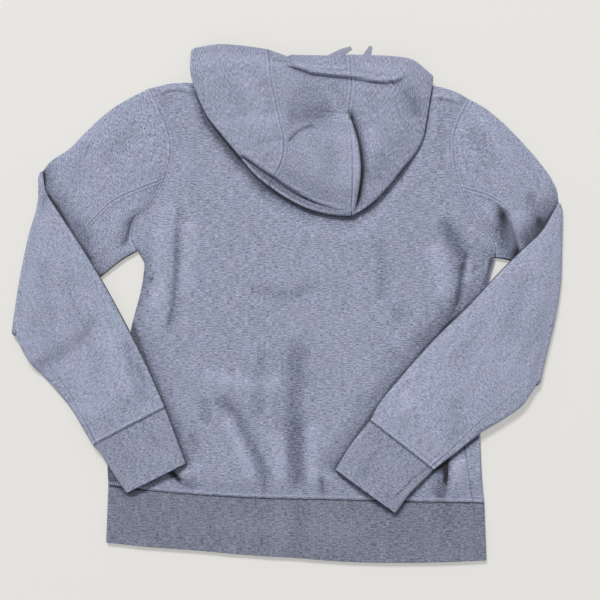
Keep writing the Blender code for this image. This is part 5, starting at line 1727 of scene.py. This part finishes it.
def hood_side(side, outline):
    """One side of the hood: its under layer, the fold, the upper layer and the part inside the throat."""
    edge, rim, nape = rounded_edge(outline, side), smooth(outline.rim), smooth(outline.nape)
    under, over = (moved(smooth(seam), side * GAP / 2) for seam in (outline.seam_under, outline.seam_over))
    start = HOOD_FOLD / np.linalg.norm(under(0.0) - edge(0.0))
    corner = start + UNDER_FLAT[NECK_COLUMN] * (1 - start)
    under_rim = end_to_end((straight(edge(0.0), nape(0.0)), nape), (corner, 1.0))
    low = hood_layer(edge, under, under_rim, UNDER_FLAT)

    def over_rim(u):
        return edge(0.0) * (1 - u) + rim(u) - rim(0.0) * (1 - u)

    high = hood_layer(edge, over, over_rim, (0.0, *OVER_FLAT))
    low_z = hood_under_z(low)
    over_z, painted_shading = hood_over(high)
    over_z += wander(high, 0.045, 0.0011, 31.0 + side) + wander(high, 0.016, 0.0003, 33.0)
    rows = []
    for i, w in enumerate(HOOD_ROWS):
        row = [(*low[i][j], low_z[i][j], 0.0) for j in range(len(UNDER_FLAT) - 1, -1, -1)]
        base = row[-1][2]
        outer = edge(w)
        for inset, rise in HOOD_ROLL:
            near = low[i][0] if rise <= 1.0 else high[i][0]
            xy = outer + (near - outer) * inset
            z = base + rise * HOOD_FOLD + max(0.0, rise - 1.0) * over_z[i][0]
            # The outer fold is painted darker where it turns under, as shade.
            row.append((*xy, z, max(0.0, 1.6 - rise)))
        for j, xy in enumerate(high[i]):
            lift = HOOD_CROWN * float(ease(np.linalg.norm(xy - outer) / 0.05))
            # The upper layer is painted darker near its outer edge, as shade where it rounds over.
            rounded = 0.8 * math.exp(-np.linalg.norm(xy - outer) / 0.007)
            row.append((*xy, base + 2 * HOOD_FOLD + lift + over_z[i][j], painted_shading[i][j] + rounded))
        rows.append(row)
    return np.array(rows), hood_throat(outline, [low[0][k] for k in range(NECK_COLUMN, -1, -1)])


hoods, throats = {}, {}
for side, outline in ((-1, HOOD_LEFT), (1, HOOD_RIGHT)):
    hoods[side], throats[side] = hood_side(side, outline)
print("rows and columns of a hood's side:", hoods[-1].shape[:2])

# %% [markdown]
# The centre strip runs over the crown between the two sides. It is cut to their seam edges, so it
# follows their height, and it sags a little where it goes round the crown's fold.

# %% The hood's three pieces
CROWN_SAG = 0.011
RIM_DIP = ((0.0, 0.0), (0.12, 0.0040), (0.24, 0.0074), (0.29, 0.0050), (0.39, 0.0049), (0.77, 0.0029),
           (1.0, 0.0))  # how far the strip's rim hangs back, by the share across
RIM_REACH = 0.12
CROWN_SLIT = 0.0008  # how much wider the gap at the strip is at the crown


def seam_points(grid):
    """The edge of a side along the centre strip: over the top, round the crown and back under."""
    return np.array([*grid[:, -1], *grid[-1, -2:0:-1], *grid[::-1, 0]])


def hood_strip(left, right):
    """The centre strip, between the seam edges of the two sides."""
    lefts, rights = seam_points(left), seam_points(right)
    count = len(HOOD_ROWS)
    depth = np.array([*HOOD_ROWS, *[1.0] * (len(lefts) - 2 * count), *HOOD_ROWS[::-1]])[:, None]
    way = (rights - lefts) * np.array([1.0, 1.0, 1.0, 0.0])
    way /= np.linalg.norm(way, axis=1)[:, None]
    slit = GAP + CROWN_SLIT * depth**4
    a, b = lefts + way * slit, rights - way * slit
    shares = np.array(stops(0.0, (12, 0.07), (40, 0.93), (12, 1.0)))[None, :]
    grid = a[:, None, :] + shares[..., None] * (b - a)[:, None, :]
    grid[..., 1] -= CROWN_SAG * 4 * shares * (1 - shares) * depth**2
    dip = np.interp(shares, *zip(*RIM_DIP))
    grid[:count, :, 1] -= dip * np.maximum(0.0, 1 - depth[:count] / RIM_REACH)
    upper = grid[:count]
    inside = 4 * shares * (1 - shares)
    fold, painted_shading = hood_over(upper[..., :2])
    left_fold, right_fold = (hood_over(line[:count, :2])[0][:, None] for line in (a, b))
    fold -= (1 - shares) * left_fold + shares * right_fold
    upper[..., 2] += fold + wander(upper[..., :2], 0.03, 0.0009, 41.0) * inside
    # The strip's upper part takes the same painted shade as the hood's upper layer.
    upper[..., 3] = painted_shading
    return grid


strip = hood_strip(hoods[-1], hoods[1])
for side, seed in ((-1, 71.0), (1, 72.0)):
    welted(hoods[side][:, -len(OVER_FLAT):], "right", seed)
for edge, seed in (("left", 73.0), ("right", 74.0)):
    welted(strip[: len(HOOD_ROWS)], edge, seed)
for side, word in SIDES:
    finished(f"hood_{word}_jersey", sheet_mesh([hoods[side], throats[side]]), hood_jersey,
             [f"hood_{word}"], wall=CLOTH)
finished("hood_center_jersey", sheet_mesh([strip]), strip_jersey, ["hood_center"], wall=CLOTH)

# %% [markdown]
# ## The zip, the eyelets and the drawstring
#
# The zip lies under the garment, between the edges of the two fronts. Two woven tapes carry the teeth,
# and the slider has closed them up to the neck. Its pull tab hangs towards the hem.

# %% The zip
TAPE = 0.0007
TAPE_SIDES = {-1: (-0.015, -0.0028), 1: (0.0028, 0.015)}
SLIDER_LIFT = 0.00135
TOOTH_STEP = 0.0026
FIRST_TOOTH = 0.0135
TOOTH_HALF_LENGTH = 0.00055
TOOTH_HALF_HEIGHT = 0.0009


def zip_height(along):
    """The middle of the tape, which the slider lifts."""
    near = float(ease((along - SLIDER_AT + 0.045) / 0.035))
    return CLOTH + 0.0007 + TAPE / 2 + SLIDER_LIFT * near


def tape_grid(side):
    """The points of one tape, seven across."""
    inner, outer = TAPE_SIDES[side]
    return [[(*by_zip(across, along), zip_height(along)) for across in stops(inner, (6, outer))]
            for along in stops(0.003, (150, ZIP_LENGTH))]


def block(mesh, across, along, height, round_by=0.0002):
    """Adds a box on the zip to a bmesh, with its edges rounded; each pair is a low and a high limit."""
    made = bmesh.ops.create_cube(mesh, size=1.0)["verts"]
    limits = (across, along, height)
    for vert in made:
        x, y, z = (low + (share + 0.5) * (high - low) for share, (low, high) in zip(vert.co, limits))
        vert.co = (*by_zip(x, y), z)
    edges = list({edge for vert in made for edge in vert.link_edges})
    bmesh.ops.bevel(mesh, geom=edges, offset=round_by, offset_type="OFFSET", segments=3, profile=0.5,
                    affect="EDGES", clamp_overlap=True, material=-1)


def teeth():
    """Metal teeth from both tapes, closed up to the slider."""
    mesh = bmesh.new()
    for k in range(int((SLIDER_AT - FIRST_TOOTH - MM) / TOOTH_STEP)):
        for side in (-1, 1):
            along = FIRST_TOOTH + (k + 0.5 * (side > 0)) * TOOTH_STEP
            middle = zip_height(along)
            low, high = sorted((-0.0007 * side, 0.0025 * side))
            block(mesh, (low, high), (along - TOOTH_HALF_LENGTH, along + TOOTH_HALF_LENGTH),
                  (middle - TOOTH_HALF_HEIGHT, middle + TOOTH_HALF_HEIGHT))
    return mesh


for side, word in SIDES:
    finished(f"zip_tape_{word}_weave", sheet_mesh([tape_grid(side)]), tape, [f"zip_tape_{word}"],
             wall=TAPE)
finished("zip_teeth", teeth(), nickel, ["zip_chain"])

# %% [markdown]
# The slider is a plate under the teeth and a plate over them, and its pull tab hangs from a bridge.
# These parts are a few millimetres long, so boxes with rounded edges are enough.

# %% The slider and its pull tab
def slider():
    """Two plates round the teeth, a post between them and a small bridge for the pull tab."""
    s = SLIDER_AT
    mesh = bmesh.new()
    for across, along, height in (
        ((-0.0048, 0.0048), (s - 0.0055, s + 0.0055), (0.0025, 0.0032)),
        ((-0.0048, 0.0048), (s - 0.0055, s + 0.0055), (0.0056, 0.0063)),
        ((-0.0012, 0.0012), (s + 0.0030, s + 0.0055), (0.0028, 0.0060)),
        ((-0.0014, 0.0014), (s - 0.0042, s - 0.0030), (0.00005, 0.0028)),
        ((-0.0014, 0.0014), (s + 0.0030, s + 0.0042), (0.00005, 0.0028)),
        ((-0.0014, 0.0014), (s - 0.0040, s + 0.0040), (0.00005, 0.00055)),
    ):
        block(mesh, across, along, height)
    return mesh


def pull_tab():
    """A bar under the bridge, two arms and a plate towards the hem."""
    s = SLIDER_AT
    low, high = 0.00075, 0.00165
    mesh = bmesh.new()
    for across, along in (
        ((-0.0036, 0.0036), (s - 0.00045, s + 0.00045)),
        ((-0.0036, -0.0021), (s - 0.0100, s + 0.00035)),
        ((0.0021, 0.0036), (s - 0.0100, s + 0.00035)),
        ((-0.0036, 0.0036), (s - 0.0300, s - 0.0090)),
    ):
        block(mesh, across, along, (low, high), 0.0003)
    return mesh


finished("zip_slider_body", slider(), nickel, ["zip_slider"])
finished("zip_pull_tab", pull_tab(), nickel, ["zip_pull"], body="pull_tab")
for name in ("zip_box", "zip_stop"):
    for place in bpy.data.objects[name].material_slots:
        place.material = nickel
    print(name, "in", nickel.name)

# %% [markdown]
# The eyelets are flat rings of metal, and the drawstring leaves through them. Most of the cord lies
# under the hood: only the tips reach past the rim.

# %% Eyelets
RING_STEPS = 48


def ring_at(x, y):
    """A rounded flat ring: its section, set round in even steps."""
    mesh = bmesh.new()
    low, high = CLOTH - 0.0004, CLOTH + 0.0001
    section = [(0.0034, low + 0.00012), (0.0037, low), (0.0057, low), (0.0060, low + 0.00012),
               (0.0060, high - 0.0001), (0.0057, high), (0.0037, high), (0.0034, high - 0.0001)]
    rings = []
    for k in range(RING_STEPS):
        turn = 2 * math.pi * k / RING_STEPS
        places = [(x + radius * math.cos(turn), y + radius * math.sin(turn), z) for radius, z in section]
        rings.append([mesh.verts.new(place) for place in places])
    for near, far in zip(rings, rings[1:] + rings[:1]):
        for j in range(len(section)):
            mesh.faces.new((near[j - 1], far[j - 1], far[j], near[j]))
    bmesh.ops.recalc_face_normals(mesh, faces=mesh.faces)
    return mesh


for word, route in CORD_ROUTES.items():
    finished(f"eyelet_{word}_ring", ring_at(*route[0]), nickel, [f"eyelet_{word}"])

# %% The drawstring
CORD_STEPS = 60


def drawstring(name, route, node):
    """A flat cord on the floor, narrowing at its tip."""
    line = smooth(route)
    places = [line(k / CORD_STEPS) for k in range(CORD_STEPS + 1)]
    data = bpy.data.curves.new(name, "CURVE")
    data.dimensions = "3D"
    data.fill_mode = "FULL"
    data.use_fill_caps = True
    data.extrude = CORD_WIDTH / 2 - CORD_THICK / 2
    data.bevel_depth = CORD_THICK / 2
    data.bevel_resolution = 3
    spline = data.splines.new("POLY")
    spline.points.add(CORD_STEPS)
    for k, (point, place) in enumerate(zip(spline.points, places)):
        point.co = (*place, CORD_Z, 1.0)
        point.tilt = math.pi / 2
        point.radius = 1.0 - 0.45 * float(ease((k / CORD_STEPS - 0.9) / 0.1))
    data.materials.append(cord_yarn)
    made = bpy.data.objects.new(name, data)
    bpy.context.collection.objects.link(made)
    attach(made, "garment")
    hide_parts(node)
    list(line(0.0))


for word, route in CORD_ROUTES.items():
    drawstring(f"drawstring_{word}_cord", route, f"drawstring_{word}")

# %% [markdown]
# ## Stitching
#
# Two needles sew every main seam, one row on each side of it, and a zig-zag row holds the waistband.
# The rows follow the edges of the panels' own grids at a fixed distance, a little above the cloth. A
# stitch is a small stretched ball of thread.

# %% A row of stitches
STITCH = 0.0027
STITCH_PITCH = 0.0034
THREAD = 0.00050
TOP_OF_CLOTH = CLOTH / 2 + 0.00008


def line_beside(grid, edge, distance):
    """The line on top of a sheet at a distance from an edge of its grid: left, right, low or high."""
    axis = 1 if edge in ("left", "right") else 0
    points = np.flip(grid, axis) if edge in ("right", "high") else grid
    run = lengths(points, axis)
    if axis == 0:
        points, run = points.transpose(1, 0, 2), run.T
    found = [[np.interp(distance, reach, row[:, k]) for k in range(3)] for row, reach in zip(points, run)]
    return np.array(found) + np.array([0.0, 0.0, TOP_OF_CLOTH])


def evenly(path, pitch):
    """Points along a path at an even pitch, and the way the path runs at each."""
    steps = np.linalg.norm(np.diff(path, axis=0), axis=1)
    run = np.concatenate([[0.0], np.cumsum(steps)])
    places = np.arange(pitch / 2, run[-1], pitch)
    at = [np.column_stack([np.interp(places + shift, run, path[:, k]) for k in range(3)])
          for shift in (0.0, 0.0005, -0.0005)]
    return at[0], at[1] - at[2]


stitching = bmesh.new()


def sew(grid, edge, distance=STITCHED, pitch=STITCH_PITCH, length=STITCH, slant=0.0, thick=THREAD):
    """Adds a row of stitches beside an edge; slant turns every other one the other way, for a zig-zag."""
    points, ways = evenly(line_beside(grid, edge, distance), pitch)
    for k, (point, way) in enumerate(zip(points, ways)):
        if np.linalg.norm(way) < 1e-9:
            continue
        turn = Vector(way).to_track_quat("X", "Z").to_matrix()
        angle = slant if k % 2 else -slant
        for vert in bmesh.ops.create_icosphere(stitching, subdivisions=1, radius=1.0)["verts"]:
            x, y, z = vert.co.x * length / 2, vert.co.y * thick, vert.co.z * thick
            x, y = x * math.cos(angle) - y * math.sin(angle), x * math.sin(angle) + y * math.cos(angle)
            vert.co = Vector(point) + turn @ Vector((x, y, z))


print("a seam of 0.1 m has", round(0.1 / STITCH_PITCH), "stitches")

# %% [markdown]
# Only the rows that show are sewn: round the armholes, along the sleeves, at the cuffs, beside the
# hood's strip and its casing, and two rows above the waistband.

# %% All the rows
UPPER_SHOWN = {-1: 58, 1: 57}  # the rows of an upper arm that its own forearm leaves open
NEAR_ARMHOLE, NEAR_CUFF, NEAR_WAIST = 16, 18, 40  # rows enough to hold a line beside that edge
CUFF_END = -24  # the last rows of a forearm, where its front seam shows
CASING = 0.018  # from the hood's rim to the row that closes the drawstring's casing
ZIG_ZAG = {"pitch": 0.0030, "length": 0.0046, "slant": math.radians(76), "thick": 0.0007}
for side, word in SIDES:
    main, under = sleeves[side, "main"], sleeves[side, "under"]
    shown = slice(2, UPPER_SHOWN[side])
    sew(back[ARMPIT_ROW + 3 : -8], word)
    sew(main[:NEAR_ARMHOLE, : BACK_COLUMNS + 1], "low")
    sew(under[:NEAR_ARMHOLE, : UNDER_COLUMNS - 2], "low")
    sew(main[shown, : BACK_COLUMNS + 1], "left")
    sew(under[shown, : UNDER_COLUMNS + 1], "left")
    sew(main[CUFF_END:-1, -FRONT_COLUMNS:], "right")
    sew(main[-NEAR_CUFF:, -FRONT_COLUMNS:], "high")
for side, _ in SIDES:
    sew(hoods[side][:, -len(OVER_FLAT):], "right")
sew(hoods[-1][:, -len(OVER_FLAT) + 30 :], "low", CASING)
for _, word in SIDES:
    sew(strip[: len(HOOD_ROWS)], word)
sew(back[:NEAR_WAIST], "low", 0.0032, **ZIG_ZAG)
sew(back[:NEAR_WAIST], "low", 0.0055)
print("stitches:", len(stitching.faces) // 20)
finished("stitching", stitching, thread)

# %% [markdown]
# ## Sheets, size and the end
#
# For each panel the area of one side is printed, capped just under the area of its flat cut, beside
# the size of that cut.

# %% Sheets
def area_of(grids):
    """The area of one side of a sheet."""
    total = 0.0
    for grid in grids:
        grid = np.asarray(grid)[..., :3]
        a, b, c, d = grid[:-1, :-1], grid[:-1, 1:], grid[1:, 1:], grid[1:, :-1]
        total += 0.5 * float(np.linalg.norm(np.cross(b - a, c - a), axis=-1).sum()
                             + np.linalg.norm(np.cross(c - a, d - a), axis=-1).sum())
    return total


FLAT_SIZES = (
    ("back_jersey", [back], (0.500, 0.565)),
    ("front_left_jersey", fronts[-1], (0.262, 0.560)),
    ("front_right_jersey", fronts[1], (0.285, 0.560)),
    ("waistband_rib", [band], (1.010, 0.082)),
    ("sleeve_left_main_jersey", [sleeves[-1, "main"]], (0.370, 0.500)),
    ("sleeve_left_under_jersey", [sleeves[-1, "under"]], (0.140, 0.500)),
    ("sleeve_right_main_jersey", [sleeves[1, "main"]], (0.370, 0.500)),
    ("sleeve_right_under_jersey", [sleeves[1, "under"]], (0.120, 0.500)),
    ("cuff_left_rib", [cuffs[-1]], (0.240, 0.085)),
    ("cuff_right_rib", [cuffs[1]], (0.240, 0.085)),
    ("hood_left_jersey", [hoods[-1], throats[-1]], (0.230, 0.270)),
    ("hood_right_jersey", [hoods[1], throats[1]], (0.230, 0.280)),
    ("hood_center_jersey", [strip], (0.090, 0.400)),
)
for name, grids, flat in FLAT_SIZES:
    area = min(area_of(grids), 0.999 * flat[0] * flat[1])
    print(name, "area", round(area, 4), "of", round(flat[0] * flat[1], 4))
